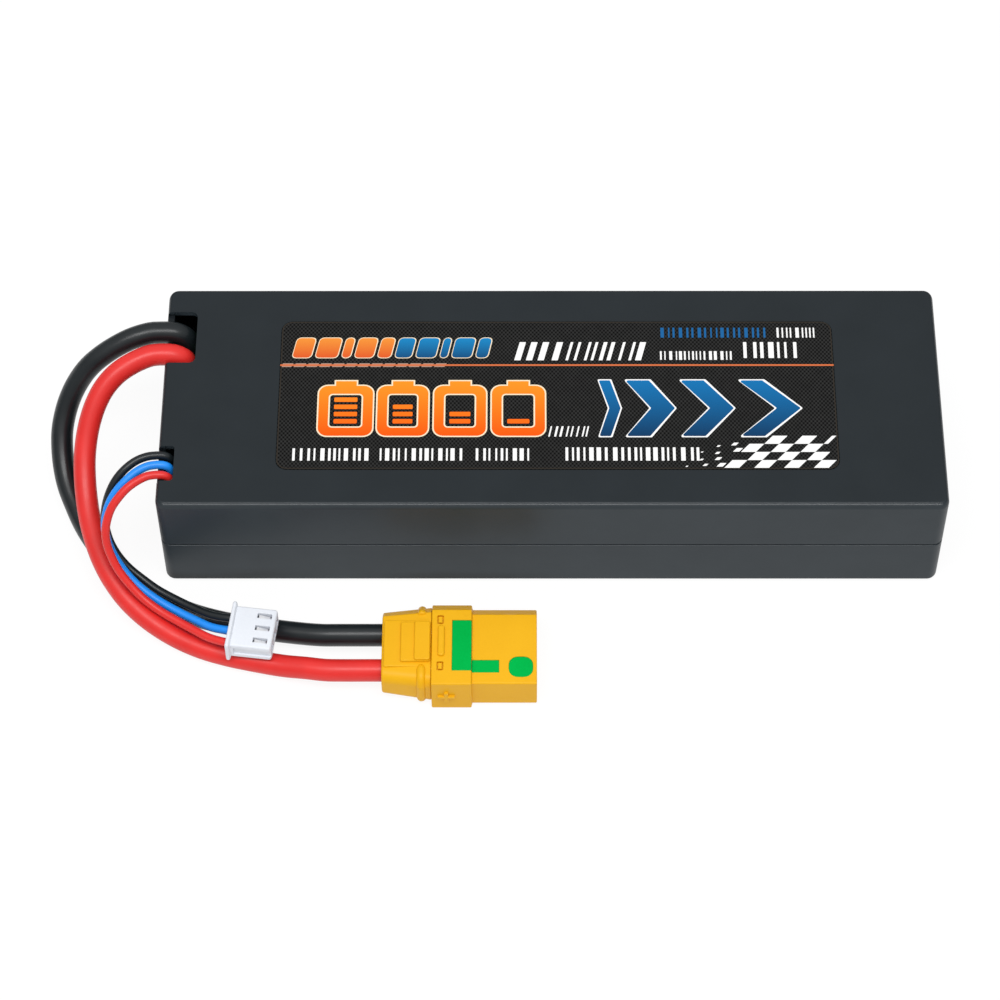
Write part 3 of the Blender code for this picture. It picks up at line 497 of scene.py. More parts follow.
def quarter_round(radius, steps):
    """(inset, rise) pairs of a quarter round, from the flat face to the side."""
    angles = [math.pi / 2 * k / steps for k in range(steps + 1)]
    return [(radius * (1 - math.sin(a)), radius * (1 - math.cos(a))) for a in angles]


def rounded_start(section, place, radius, steps):
    """Loops of a section at an end with a rounded edge, from the end's face inwards."""
    return [section(inset, place + rise) for inset, rise in quarter_round(radius, steps)]


def rounded_end(section, place, radius, steps, way=1):
    """The same at the far end, out to its face. The loops run the other way if way is -1."""
    return [
        section(inset, place - way * rise) for inset, rise in reversed(quarter_round(radius, steps))
    ]


def add_skin(mesh, loops, closed=False):
    """Joins loops of the same number of points, and caps the ends unless the last meets the first."""
    rings = [[mesh.verts.new(point) for point in loop] for loop in loops]
    pairs = list(zip(rings, rings[1:]))
    if closed:
        pairs.append((rings[-1], rings[0]))
    made = []
    for ring, following in pairs:
        for k in range(len(ring)):
            made.append(mesh.faces.new((ring[k - 1], ring[k], following[k], following[k - 1])))
    if not closed:
        made.append(mesh.faces.new(reversed(rings[0])))
        made.append(mesh.faces.new(rings[-1]))
    bmesh.ops.recalc_face_normals(mesh, faces=made)


def skin(loops, closed=False):
    mesh = bmesh.new()
    add_skin(mesh, loops, closed)
    return mesh


def ring_loops(outer, inner, low, high):
    """Loops of an upright wall between two outlines, to be joined as a closed ring."""
    return [level(outer, low), level(outer, high), level(inner, high), level(inner, low)]


def add_block(mesh, low, high, radius=0.0, edge=0.0, steps=4):
    """A box between two corners, with rounded upright edges and a rounded top."""
    length, width, _ = (b - a for a, b in zip(low, high))
    middle = [(a + b) / 2 for a, b in zip(low, high)][:2]
    radius = max(radius, edge * 1.01, 0.001 * MM)

    def section(inset, z):
        outline = rectangle(length - 2 * inset, width - 2 * inset, radius - inset, middle, steps)
        return level(outline, z)

    top = rounded_end(section, high[2], edge, 3) if edge else [section(0.0, high[2])]
    add_skin(mesh, [section(0.0, low[2]), *top])


def block(low, high, radius=0.0, edge=0.0, steps=4):
    mesh = bmesh.new()
    add_block(mesh, low, high, radius, edge, steps)
    return mesh


def turned(profile, centre=(0.0, 0.0), closed=False):
    """A body turned about a line along X, from (x, radius) pairs."""
    return skin([across(circle(radius, centre), x) for x, radius in profile], closed)


def object_of(name, mesh, matrix=None):
    data = bpy.data.meshes.new(name)
    mesh.to_mesh(data)
    mesh.free()
    obj = bpy.data.objects.new(name, data)
    bpy.context.scene.collection.objects.link(obj)
    if matrix:
        obj.matrix_world = matrix
    return obj


def carve(obj, cutters, operation="DIFFERENCE"):
    """Takes the cutters' shapes out of an object, or joins them to it, and removes them."""
    helpers = []
    for number, mesh in enumerate(cutters):
        helper = object_of(f"{obj.name}_helper_{number}", mesh, obj.matrix_world)
        modifier = obj.modifiers.new(helper.name, "BOOLEAN")
        modifier.operation = operation
        modifier.object = helper
        helpers.append(helper)
    bpy.context.view_layer.update()
    graph = bpy.context.evaluated_depsgraph_get()
    carved = bpy.data.meshes.new_from_object(obj.evaluated_get(graph))
    obj.modifiers.clear()
    obj.data = carved
    for helper in helpers:
        bpy.data.objects.remove(helper, do_unlink=True)


def show(obj, material, body="pack", replaces=(), sharp=38.0):
    """Shades a finished piece, hangs it on the empty of the body it rides on, and hides the CAD nodes it
    stands for.
    """
    obj.data.materials.clear()
    obj.data.materials.append(material)
    obj.data.shade_smooth()
    obj.data.set_sharp_from_angle(angle=math.radians(sharp))
    weighted = obj.modifiers.new("face_weights", "WEIGHTED_NORMAL")
    weighted.keep_sharp = True
    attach(obj, body)
    if replaces:
        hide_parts(*replaces)


def paint(node, material):
    """Gives a CAD node that keeps its shape a better material."""
    obj = frame["nodes"][node]
    obj.data.materials.clear()
    obj.data.materials.append(material)


# -------- camera


def make_camera():
    data = bpy.data.cameras.new("camera")
    data.lens = CAMERA_LENS
    data.sensor_width = 36.0
    data.clip_start = 0.01
    data.clip_end = 20.0
    camera = bpy.data.objects.new("camera", data)
    camera.matrix_world = (
        Matrix.Translation(CAMERA_PLACE)
        @ Matrix.Rotation(-CAMERA_YAW, 4, "Z")
        @ Matrix.Rotation(math.pi / 2 - CAMERA_DOWN, 4, "X")
        @ Matrix.Rotation(CAMERA_ROLL, 4, "Z")
    )
    bpy.context.scene.collection.objects.link(camera)
    bpy.context.scene.camera = camera


# -------- leads


def smooth_route(points, spacing):
    """Evenly spaced points on a Catmull-Rom curve through a route's points."""
    route = [Vector(p) for p in points]
    route = [2 * route[0] - route[1], *route, 2 * route[-1] - route[-2]]
    fine = []
    steps = 12
    for a, b, c, d in zip(route, route[1:], route[2:], route[3:]):
        for step in range(steps):
            t = step / steps
            bend = (2 * a - 5 * b + 4 * c - d) * t**2 + (3 * b - 3 * c + d - a) * t**3
            fine.append(b + ((c - a) * t + bend) / 2)
    fine.append(route[-2])
    travelled = [0.0]
    for a, b in zip(fine, fine[1:]):
        travelled.append(travelled[-1] + (b - a).length)
    count = round(travelled[-1] / spacing)
    even = []
    k = 0
    for n in range(count + 1):
        wanted = travelled[-1] * n / count
        while k < len(fine) - 2 and travelled[k + 1] < wanted:
            k += 1
        share = (wanted - travelled[k]) / (travelled[k + 1] - travelled[k])
        even.append(fine[k].lerp(fine[k + 1], share))
    return even


def elbow(x, y, top, radius, foot):
    """A lead's hidden end: up from its foot, and round to level towards the case's end."""
    bend = arc((x - radius, top - radius), radius, 0.0, math.pi / 2, 6)
    rise = top - radius - foot
    return [*((x, y, foot + rise * k / 3) for k in range(3)), *((p.x, y, p.y) for p in bend)]


def make_lead(name, points, diameter, material):
    curve = bpy.data.curves.new(name, "CURVE")
    curve.dimensions = "3D"
    curve.bevel_depth = diameter / 2
    curve.bevel_resolution = 7
    curve.use_fill_caps = True
    spline = curve.splines.new("POLY")
    spline.points.add(len(points) - 1)
    for target, point in zip(spline.points, points):
        target.co = (*point, 1.0)
        target.radius = 1.0
    spline.use_smooth = True
    curve.materials.append(material)
    obj = bpy.data.objects.new(name, curve)
    bpy.context.scene.collection.objects.link(obj)
    return obj


def lay_lead(kind, stands_for, colour, points, diameter, spacing, jacket):
    """One lead along its route, in place of the CAD's lead and its tail in the case."""
    lead = make_lead(f"{kind}_lead_{colour}", smooth_route(points, spacing), diameter, jacket)
    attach(lead, "pack")
    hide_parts(f"{stands_for}_lead_{colour}", f"{stands_for}_tail_{colour}")
    return lead


def make_leads(jackets):
    leads = {}
    for colour, route in MAIN_ROUTES.items():
        tail = elbow(MAIN_TAIL_X, route[0][1], MAIN_EXIT_Z, MAIN_ELBOW, MAIN_TAIL_FOOT[colour])
        leads["main", colour] = lay_lead(
            "thick", "main", colour, tail + route, MAIN_DIAMETER, 0.8 * MM, jackets[colour]
        )
    into_plug = 2.5 * MM * Vector(mount("balance_plug_face")["axis"])
    for colour, route in BALANCE_ROUTES.items():
        tail = elbow(
            BALANCE_TAIL_X, route[0][1], BALANCE_EXIT_Z, BALANCE_ELBOW, BALANCE_TAIL_FOOT
        )
        points = [*tail, *route, Vector(route[-1]) + into_plug]
        leads["balance", colour] = lay_lead(
            "thin", "balance", colour, points, BALANCE_DIAMETER, 0.5 * MM, jackets[colour]
        )
    return leads


def mount(name):
    return next(m for m in frame["record"]["mounts"] if m["name"] == name)


def declare_leads():
    on_connector = ["connector_shell", "connector_sleeve", "sleeve_beads", "polarity_marks"]
    on_connector += ["spark_plate_flange", "spark_plate_body", "spark_button", "spark_ring"]


# -------- case


def case_loop(inset, z):
    low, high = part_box("upper_case")
    radius = max(CASE_CORNER - inset, 0.5 * MM)
    length, width = high.x - low.x - 2 * inset, high.y - low.y - 2 * inset
    return level(rectangle(length, width, radius, steps=8), z)


def top_edge_profile():
    """(inset, drop) pairs from the flat top to the side: a tight arc, and a wider one below it."""
    side_sine, side_cosine = math.sin(TOP_EDGE_TURN), math.cos(TOP_EDGE_TURN)
    inset = TOP_EDGE * side_sine + TOP_EDGE_SIDE * (1 - side_sine)
    profile = []
    for k in range(9):
        angle = TOP_EDGE_TURN * k / 8
        profile.append((inset - TOP_EDGE * math.sin(angle), TOP_EDGE * (1 - math.cos(angle))))
    for k in range(1, 7):
        angle = TOP_EDGE_TURN + (math.pi / 2 - TOP_EDGE_TURN) * k / 6
        drop = TOP_EDGE * (1 - side_cosine) + TOP_EDGE_SIDE * (side_cosine - math.cos(angle))
        profile.append((TOP_EDGE_SIDE * (1 - math.sin(angle)), drop))
    return profile


def make_upper_case(material):
    """The lid: the label's recess, the rounded top edge, the seam and the hollow, then the notches."""
    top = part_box("upper_case")[1].z
    label_low, label_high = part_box("top_label")
    size = label_high - label_low

    def recess_loop(grow, z):
        grow += RECESS_MARGIN
        radius = LABEL_CORNER + grow
        middle = label_middle().to_2d()
        return level(rectangle(size.x + 2 * grow, size.y + 2 * grow, radius, middle, 8), z)

    lip = 0.04 * MM
    rim = SEAM_HEIGHT + SEAM_GAP / 2
    step = SEAM_HEIGHT + LIP_HEIGHT + SEAM_GAP
    skirt = CASE_WALL - LIP_THICKNESS - SEAM_GAP
    case = object_of("case_top_shell", skin([
        recess_loop(0.0, top - RECESS_DEPTH),
        recess_loop(0.0, top - lip),
        recess_loop(lip, top),
        *[case_loop(inset, top - drop) for inset, drop in top_edge_profile()],
        *rounded_end(case_loop, rim, SEAM_EDGE, 3, way=-1),
        case_loop(skirt, rim),
        case_loop(skirt, step),
        case_loop(CASE_WALL, step),
        case_loop(CASE_WALL, top - CASE_WALL),
    ]))
    carve(case, [*window_cutters(top), *saddle_cutters(top)])
    show(case, material, replaces=["upper_case"], sharp=30.0)


def window_cutters(top):
    """Windows through the roof beside the end wall, whose rims flare softly."""
    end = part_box("upper_case")[0].x
    flare = 0.3 * MM
    square = 0.02 * MM
    cutters = []
    for (y0, y1), depth, radius in (
        (MAIN_NOTCH_Y, MAIN_NOTCH_DEPTH, 1.2 * MM),
        (BALANCE_NOTCH_Y, BALANCE_NOTCH_DEPTH, 0.6 * MM),
    ):

        def outline(grow):
            near, far = end + CASE_WALL, end + depth + grow
            corners = [(near, y0 - grow), (far, y0 - grow), (far, y1 + grow), (near, y1 + grow)]
            return rounded_corners(corners, [square, radius + grow, radius + grow, square])

        loops = [level(outline(0.0), top - CASE_WALL - 1 * MM)]
        loops += [
            level(outline(flare - rise), top - inset)
            for inset, rise in quarter_round(flare, 4)
        ]
        loops.append(level(outline(flare), top + 1 * MM))
        cutters.append(skin(loops))
    return cutters


def saddle_cutters(top):
    """The end wall's lower parts, which the leads lie over."""
    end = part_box("upper_case")[0].x
    outside, inside = end - 2 * MM, end + CASE_WALL + 0.2 * MM
    main_floor = MAIN_EXIT_Z - MAIN_DIAMETER / 2 - SADDLE_ROOM
    balance_floor = BALANCE_EXIT_Z - BALANCE_DIAMETER / 2 - SADDLE_ROOM
    return [
        block((outside, y0, floor), (inside, y1, top + 1 * MM))
        for y0, y1, floor in (
            (*MAIN_NOTCH_Y, top - NOTCH_STEP),
            (MAIN_NOTCH_Y[0], MAIN_SADDLE_END, main_floor),
            (*BALANCE_NOTCH_Y, balance_floor),
        )
    ]


def make_lower_case(material):
    """The tray: the rounded bottom edge, the seam with its inner lip, and the hollow."""
    shoulder = SEAM_HEIGHT - SEAM_GAP / 2
    lip_top = SEAM_HEIGHT + LIP_HEIGHT
    lip = CASE_WALL - LIP_THICKNESS
    case = object_of("case_bottom_shell", skin([
        *rounded_start(case_loop, 0.0, CASE_EDGE, 8),
        *rounded_end(case_loop, shoulder, SEAM_EDGE, 3),
        case_loop(lip, shoulder),
        case_loop(lip, lip_top),
        case_loop(CASE_WALL, lip_top),
        case_loop(CASE_WALL, CASE_WALL),
    ]))
    show(case, material, replaces=["lower_case"], sharp=30.0)


# -------- label


def label_middle():
    low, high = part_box("top_label")
    return (low + high) / 2


def label_half_length():
    """In millimetres, as everything on the label."""
    low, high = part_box("top_label")
    return (high.x - low.x) / MM / 2


def on_label(outline):
    """An outline drawn in millimetres from the label's middle, in the row frame."""
    middle = label_middle()
    return [Vector((middle.x + p[0] * MM, middle.y + p[1] * MM)) for p in outline]


def ink_heights(layer):
    """The bottom and the top of a layer of ink. A higher layer lies over the ones below it."""
    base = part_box("top_label")[1].z
    return base, base + INK * (layer + 1)


def add_print(mesh, outline, layer=0):
    add_skin(mesh, [level(on_label(outline), z) for z in ink_heights(layer)])


def add_print_ring(mesh, outer, inner, layer=0):
    loops = ring_loops(on_label(outer), on_label(inner), *ink_heights(layer))
    add_skin(mesh, loops, closed=True)


def box_outline(left, right, bottom, top, radius=0.2, slant=0.0, steps=3):
    """A rounded box between sides, in millimetres, leaning right by slant per unit of height."""
    radius = min(radius, 0.49 * (right - left), 0.49 * (top - bottom))
    middle = ((left + right) / 2, (bottom + top) / 2)
    outline = rectangle(right - left, top - bottom, radius, middle, steps)
    return [Vector((p.x + slant * (p.y - bottom), p.y)) for p in outline]


def chevron_outline(left, right, bottom, top, stroke, grow=0.0):
    """An arrow head that points right. A positive grow widens it on all sides."""
    middle = (bottom + top) / 2
    side = grow * math.hypot(1.0, (right - left - stroke) / (top - middle))
    corners = [
        (left - side, bottom - grow), (left + stroke + side, bottom - grow), (right + side, middle),
        (left + stroke + side, top + grow), (left - side, top + grow),
        (right - stroke - side, middle),
    ]
    return rounded_corners(corners, [0.25] * 6, 3)


def add_word(mesh, rng, left, right, bottom, top, slant):
    """A row of plain ticks of uneven width and spacing, in place of a word."""
    height = top - bottom
    x = left
    while x < right - 0.1 * height:
        width = height * rng.choice((0.12, 0.17, 0.28))
        tick = box_outline(x, min(x + width, right), bottom, top, 0.04, slant, 2)
        add_print(mesh, tick, 1)
        x += width + height * rng.choice((0.18, 0.24, 0.34))


def show_print(name, mesh, material):
    show(object_of(name, mesh), material)


def make_label(materials):
    low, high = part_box("top_label")
    size = high - low
    edge = 0.04 * MM

    def loop(inset, z):
        length, width = size.x - 2 * inset, size.y - 2 * inset
        return level(rectangle(length, width, LABEL_CORNER - inset, label_middle().to_2d(), 8), z)

    film = skin([loop(0.0, low.z), loop(0.0, high.z - edge), loop(edge, high.z)])
    show(object_of("label_base", film), materials["weave"], replaces=["top_label"])
    border = bmesh.new()
    x, y = size.x / MM / 2, size.y / MM / 2
    add_print_ring(border, *(
        box_outline(-x + inset, x - inset, -y + inset, y - inset, radius, steps=8)
        for inset, radius in ((0.1, 1.9), (0.28, 1.7))
    ))
    show_print("print_border", border, materials["brown"])
    make_cell_prints(materials)
    make_chevron_prints(materials)
    make_line_prints(materials)
    make_word_prints(materials)
    make_bar_prints(materials)
    make_checker_print(materials["white"])


def make_cell_prints(materials):
    """Four battery symbols in a row, each with its terminal and its charge: orange, edged cream."""
    edge, wall, terminal = 0.27, 2.0, 2.1
    margin, bar_start, bar_height, bar_pitch = 1.0, 0.9, 0.95, 1.55
    bottom, top = CELL_PRINT_Y
    shoulder = top - 1.0
    fill, rim = bmesh.new(), bmesh.new()

    def cell_part(sides, grow, radius):
        left, right, low, high = sides
        return box_outline(left - grow, right + grow, low - grow, high + grow, radius, steps=6)

    for (left, right), charge in zip(CELL_PRINTS_X, CELL_CHARGES):
        middle = (left + right) / 2
        add_print(rim, box_outline(middle - terminal, middle + terminal, shoulder, top, 0.1))
        cap = (middle - terminal + edge, middle + terminal - edge, shoulder - edge, top - edge)
        add_print(fill, box_outline(*cap, 0.1), 1)
        cell = (left, right, bottom, shoulder)
        hole = (left + wall, right - wall, bottom + wall, shoulder - wall)
        add_print_ring(rim, cell_part(cell, 0.0, 1.9), cell_part(hole, -edge, 0.5))
        add_print_ring(fill, cell_part(cell, -edge, 1.65), cell_part(hole, 0.0, 0.75), 1)
        for k in range(charge):
            base = hole[2] + bar_start + bar_pitch * k
            bar = (hole[0] + margin, hole[1] - margin, base, base + bar_height)
            add_print(fill, box_outline(*bar), 1)
    show_print("print_cell_outlines", rim, materials["cream"])
    show_print("print_cells", fill, materials["orange"])


def make_chevron_prints(materials):
    """Blue arrow heads with a white outline, which point to the right."""
    outline = 0.25
    bottom, top = CHEVRON_PRINT_Y
    fill, rim = bmesh.new(), bmesh.new()
    for left, right, stroke in CHEVRON_PRINTS:
        add_print(rim, chevron_outline(left, right, bottom, top, stroke, outline))
        add_print(fill, chevron_outline(left, right, bottom, top, stroke), 1)
    show_print("print_chevron_outlines", rim, materials["white"])
    show_print("print_chevrons", fill, materials["blue"])


def make_line_prints(materials):
    """A thin line all along the label, over a row of slanting dashes in its left part."""
    line_y, dashes_y, count, share = (6.17, 6.53), (5.95, 6.75), 13, 0.82
    line, dashes = bmesh.new(), bmesh.new()
    half = label_half_length()
    add_print(line, box_outline(-half, half, *line_y, 0.05), 1)
    pitch = (LINE_DASHES_END + half) / count
    for k in range(count):
        left = -half + 0.1 + k * pitch
        add_print(dashes, box_outline(left, left + share * pitch, *dashes_y, 0.05, 0.5))
    show_print("print_line", line, materials["orange_rule"])
    show_print("print_dashes", dashes, materials["pink"])


def make_word_prints(materials):
    rng = random.Random(5)
    for name, words, ink in (
        ("print_white_marks", WHITE_WORDS, "white"),
        ("print_blue_marks", BLUE_WORDS, "blue_line"),
    ):
        mesh = bmesh.new()
        for word in words:
            add_word(mesh, rng, *word)
        show_print(name, mesh, materials[ink])


def make_bar_prints(materials):
    """The row of orange and blue bars, each with a cream outline."""
    rim, radius, slant = 0.15, 0.7, 0.2
    bars = {"orange": bmesh.new(), "blue": bmesh.new()}
    rims = bmesh.new()
    bottom, top = BAR_PRINT_Y
    for left, right, colour in BAR_PRINTS:
        sides = (left - rim, right + rim, bottom - rim, top + rim)
        add_print(rims, box_outline(*sides, radius + 0.1, slant))
        add_print(bars[colour], box_outline(left, right, bottom, top, radius, slant), 1)
    show_print("print_bar_outlines", rims, materials["cream"])
    for colour, mesh in bars.items():
        show_print(f"print_bars_{colour}", mesh, materials[f"{colour}_bar"])


def make_checker_print(material):
    """A band of slanting checks at the corner, which breaks up into bits towards the left."""
    rng = random.Random(11)
    mesh = bmesh.new()
    edge = label_half_length() - 0.3
    bottom, height, width, slant, rows = -15.8, 1.72, 2.6, 0.9, 4
    first_check, first_bit, bit_pitch, bit_rise = 29.0, 22.3, 1.35, 1.5
    for row in range(rows):
        base = bottom + row * height
        for column in range(row % 2, 9, 2):
            left = first_check + slant * row * height + column * width
            right = min(left + width, edge - slant * height)
            if right - left > 0.4:
                add_print(mesh, box_outline(left, right, base, base + height, 0.05, slant, 2))
    for column, size in enumerate((0.35, 0.5, 0.65, 0.85, 1.1, 1.35)):
        for row in range(rows):
            left = first_bit + bit_pitch * column + slant * bit_rise * row
            left += rng.uniform(-0.3, 0.3)
            base = bottom + bit_rise * row + rng.uniform(0.0, 0.5)
            before_checks = left < first_check + slant * (base - bottom) - size
            if (row + column) % 2 == 0 and before_checks:
                bit = box_outline(left, left + size, base, base + 0.7 * size, 0.05, slant, 2)
                add_print(mesh, bit)
    show_print("print_checks", mesh, material)


# -------- connector


def connector_place():
    """The middle of the flange's rear face. The connector's x runs from there to the mouth."""
    low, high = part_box("connector_housing")
    return Vector((low.x, (low.y + high.y) / 2, (low.z + high.z) / 2))


def connector_object(name, mesh):
    return object_of(name, mesh, Matrix.Translation(connector_place()))


def make_housing(material):
    """The flange and the body in one moulding, with the contacts' two bores."""
    edge, step = 0.2 * MM, 0.15 * MM

    def section(half, half_height):
        def loop(inset, x):
            return across(d_section(-half, half, half_height, BODY_CHAMFER, inset), x)
        return loop

    flange = section(FLANGE_HALF_WIDTH, FLANGE_HALF_HEIGHT)
    body = section(BODY_HALF_WIDTH, BODY_HALF_HEIGHT)
    housing = connector_object("connector_shell", skin([
        *rounded_start(flange, 0.0, edge, 4),
        *rounded_end(flange, FLANGE_LENGTH, edge, 4),
        body(0.0, FLANGE_LENGTH + step),
        *rounded_end(body, HOUSING_LENGTH, edge, 4),
    ]))
    bore = CONTACT_RADIUS + 0.25 * MM
    flare = 0.35 * MM
    profile = [
        (-1 * MM, bore), (HOUSING_LENGTH - flare, bore),
        (HOUSING_LENGTH, bore + flare), (HOUSING_LENGTH + 1 * MM, bore + flare),
    ]
    carve(housing, [turned(profile, (side * CONTACT_PITCH / 2, 0.0)) for side in (1, -1)])
    carve(housing, pocket_cutters())
    show(housing, material, replaces=["connector_housing"], sharp=30.0)


def pocket_cutters():
    """Pockets of the green inserts and the resistor, and the flange's small engraved frames."""
    above = 6 * MM
    play, under, reach = 0.03 * MM, 0.3 * MM, 0.3 * MM
    cutters = []
    for _, _, low, high, top, _, radius in GREEN_PIECES:
        start = (low[0] - play, low[1] - play, top - INSERT_DEPTH - under)
        end = (high[0] + play, high[1] + play, above)
        cutters.append(block(start, end, radius + play, steps=6))
    low, high = RESISTOR_CORNERS
    cutters.append(block([v - reach for v in low], (high[0] + reach, high[1] + reach, above)))
    return cutters + [frame_ring(*frame_sizes) for frame_sizes in FLANGE_FRAMES]


def frame_ring(x0, x1, y0, y1, radius):
    """A closed groove along a rounded rectangle on the flange's top."""
    width, depth = 0.32 * MM, 0.6 * MM
    length, breadth, middle = x1 - x0, y1 - y0, ((x0 + x1) / 2, (y0 + y1) / 2)
    outer = rectangle(length, breadth, radius, middle)
    inner = rectangle(length - 2 * width, breadth - 2 * width, radius - width * 0.8, middle)
    low, high = FLANGE_HALF_HEIGHT - depth, FLANGE_HALF_HEIGHT + 1 * MM
    return skin(ring_loops(outer, inner, low, high), closed=True)


def add_raised_mark(mesh, place, size, face, way):
    """A low bar on a side of the flange, which faces the front if way is -1 and else the back."""
    proud, sunk, bevel = 0.42 * MM, 0.2 * MM, 0.08 * MM
    outline = rectangle(*size, 0.12 * MM, place, 3)
    smaller = rectangle(size[0] - 2 * bevel, size[1] - 2 * bevel, 0.06 * MM, place, 3)
    add_skin(mesh, [
        facing_front(outline, face - way * sunk),
        facing_front(outline, face + way * (proud - bevel)),
        facing_front(smaller, face + way * proud),
    ])


def make_polarity_mark(material):
    """A raised plus on the flange's front side, a bar on its back side and one on its top."""
    mesh = bmesh.new()
    place, length, width = (2.6 * MM, 0.0), 3.0 * MM, 0.72 * MM
    apart = 0.004 * MM  # keeps the faces of the plus's two bars from lying in one plane
    add_raised_mark(mesh, place, (length, width), -FLANGE_HALF_WIDTH, -1)
    add_raised_mark(mesh, place, (width, length), -FLANGE_HALF_WIDTH - apart, -1)
    add_raised_mark(mesh, place, (length, width), FLANGE_HALF_WIDTH, 1)
    add_block(mesh, *FLANGE_BAR, 0.5 * MM, 0.3 * MM)
    show(connector_object("polarity_marks", mesh), material)


def make_green_pieces(material):
    for name, node, low, high, top, radius, _ in GREEN_PIECES:
        mesh = block((*low, top - INSERT_DEPTH), (*high, top), radius, 0.12 * MM, 8)
        show(connector_object(name, mesh), material, replaces=[node])
    start, end = RING_X
    lip = 0.12 * MM
    profile = [
        (start, SOCKET_RADIUS), (end - lip, SOCKET_RADIUS), (end, SOCKET_RADIUS + lip),
        (end, CONTACT_RADIUS - lip), (end - lip, CONTACT_RADIUS), (start, CONTACT_RADIUS),
    ]
    ring = connector_object("spark_ring", turned(profile, (-CONTACT_PITCH / 2, 0.0), closed=True))
    show(ring, material, replaces=["antispark_ring"])


def make_contact(pole, mouth, side, gold, copper):
    """A gold socket, slotted at its mouth, whose rear is a cup with the soldered strands in it."""
    y = side * CONTACT_PITCH / 2
    lip, neck = 0.12 * MM, CONTACT_RADIUS - 0.15 * MM
    profile = [
        (5.0 * MM, SOCKET_RADIUS), (mouth - lip, SOCKET_RADIUS), (mouth, SOCKET_RADIUS + lip),
        (mouth, CONTACT_RADIUS - lip), (mouth - lip, CONTACT_RADIUS), (0.4 * MM, CONTACT_RADIUS),
        (0.2 * MM, neck), (-0.1 * MM, neck), (-0.3 * MM, CONTACT_RADIUS),
        (CUP_END, CONTACT_RADIUS), (CUP_END, CUP_RADIUS), (-0.2 * MM, CUP_RADIUS),
    ]
    contact = connector_object(f"socket_{pole}", turned(profile, (y, 0.0)))
    slot, wide = 0.2 * MM, 3 * MM
    start, end = mouth - 5 * MM, mouth + 1 * MM
    carve(contact, [
        block((CUP_END - 1 * MM, y - wide, 0.7 * MM), (CUP_END + 2.4 * MM, y + wide, wide)),
        block((start, y - slot, -wide), (end, y + slot, wide)),
        block((start, y - wide, -slot), (end, y + wide, slot)),
    ])
    show(contact, gold, replaces=[f"contact_{pole}"], sharp=30.0)
    strands = bmesh.new()
    ends = (CUP_END + 0.02 * MM, -0.5 * MM)
    for ring_radius, count in ((0.0, 1), (0.5 * MM, 6), (1.0 * MM, 12)):
        for place in circle(ring_radius, (y, 0.0), count):
            add_skin(strands, [across(circle(0.24 * MM, place, 10), x) for x in ends])
    show(connector_object(f"strands_{pole}", strands), copper,
         replaces=[f"cup_solder_{pole}"])


def sheath_sizes(x, rear):
    share = (x - rear) / SHEATH_LENGTH
    return [a + (b - a) * share for a, b in zip(SHEATH_REAR, SHEATH_FRONT)]


def make_sheath(material):
    """The rear cover. It widens towards the flange and carries stepped panels and grip beads."""
    rear, front = -SHEATH_LENGTH - 0.3 * MM, -0.06 * MM
    inner_rear = rear + SHEATH_REAR_WALL

    def loop(inset, x):
        front_radius = SHEATH_FRONT_RADIUS - inset
        return across(d_section(*sheath_sizes(x, rear), inset, 0.4 * MM, front_radius), x)

    sheath = connector_object("connector_sleeve", skin([
        *rounded_start(loop, rear, 0.35 * MM, 5),
        *rounded_end(loop, front, 0.15 * MM, 3),
        loop(SHEATH_WALL, front),
        loop(SHEATH_WALL, inner_rear),
    ]))
    hole = MAIN_DIAMETER / 2 + SHEATH_PLAY
    ends = [(rear - 1 * MM, hole), (inner_rear + 1 * MM, hole)]
    carve(sheath, [turned(ends, (side * CONTACT_PITCH / 2, 0.0)) for side in (1, -1)])
    carve(sheath, sheath_steps(), "UNION")
    show(sheath, material, "sheath", ["connector_sheath"], sharp=40.0)
    beads = connector_object("sleeve_beads", sheath_beads(rear))
    show(beads, material, "sheath", sharp=60.0)


def sheath_steps():
    """The stepped panels of the top, each with a lower twin on the underside."""
    steps = []
    first_top = SHEATH_STEPS[0][1][2]
    radius, edge = 0.35 * MM, 0.22 * MM
    for low, high in SHEATH_STEPS:
        twin_top = first_top + UNDERSIDE_RISE * (high[2] - first_top)
        twin = block(low, (*high[:2], twin_top), radius, edge)
        bmesh.ops.scale(twin, vec=(1.0, 1.0, -1.0), verts=twin.verts)
        bmesh.ops.reverse_faces(twin, faces=twin.faces)
        steps += [block(low, high, radius, edge), twin]
    return steps


def sheath_beads(rear):
    """Half-round grip beads across the front and the back of the sheath."""
    sizes = sheath_sizes(SHEATH_BEAD_X, rear)
    inset = 0.3 * MM
    height = sizes[2] - inset
    outline = d_section(*sizes, inset, 1.2 * MM, SHEATH_FRONT_RADIUS - inset)
    mesh = bmesh.new()
    for end, way in zip(SHEATH_BEAD_ENDS, (-1, 1)):
        beyond = [p for p in outline if way * (p.x - end) > 0]
        path = [Vector((end, -height)), *beyond, Vector((end, height))]
        add_bead(mesh, sorted(path, key=lambda p: p.y))
    return mesh


def add_bead(mesh, corners):
    """A round bead along a path across the connector, tapered at its ends."""
    path = [corners[0]]
    for corner in corners[1:]:
        start = path[-1]
        pieces = max(1, round((corner - start).length / (0.4 * MM)))
        path += [start.lerp(corner, (k + 1) / pieces) for k in range(pieces)]
    last = len(path) - 1
    loops = []
    for k, point in enumerate(path):
        along = (path[min(k + 1, last)] - path[max(k - 1, 0)]).normalized()
        radius = SHEATH_BEAD_RADIUS * (0.4, 0.8, 0.96, 1.0)[min(k, last - k, 3)]
        ring = circle(radius, sides=16)
        loops.append([
            Vector((SHEATH_BEAD_X + p.x, point.x + p.y * along.y, point.y - p.y * along.x))
            for p in ring
        ])
    add_skin(mesh, loops)


# -------- balance plug


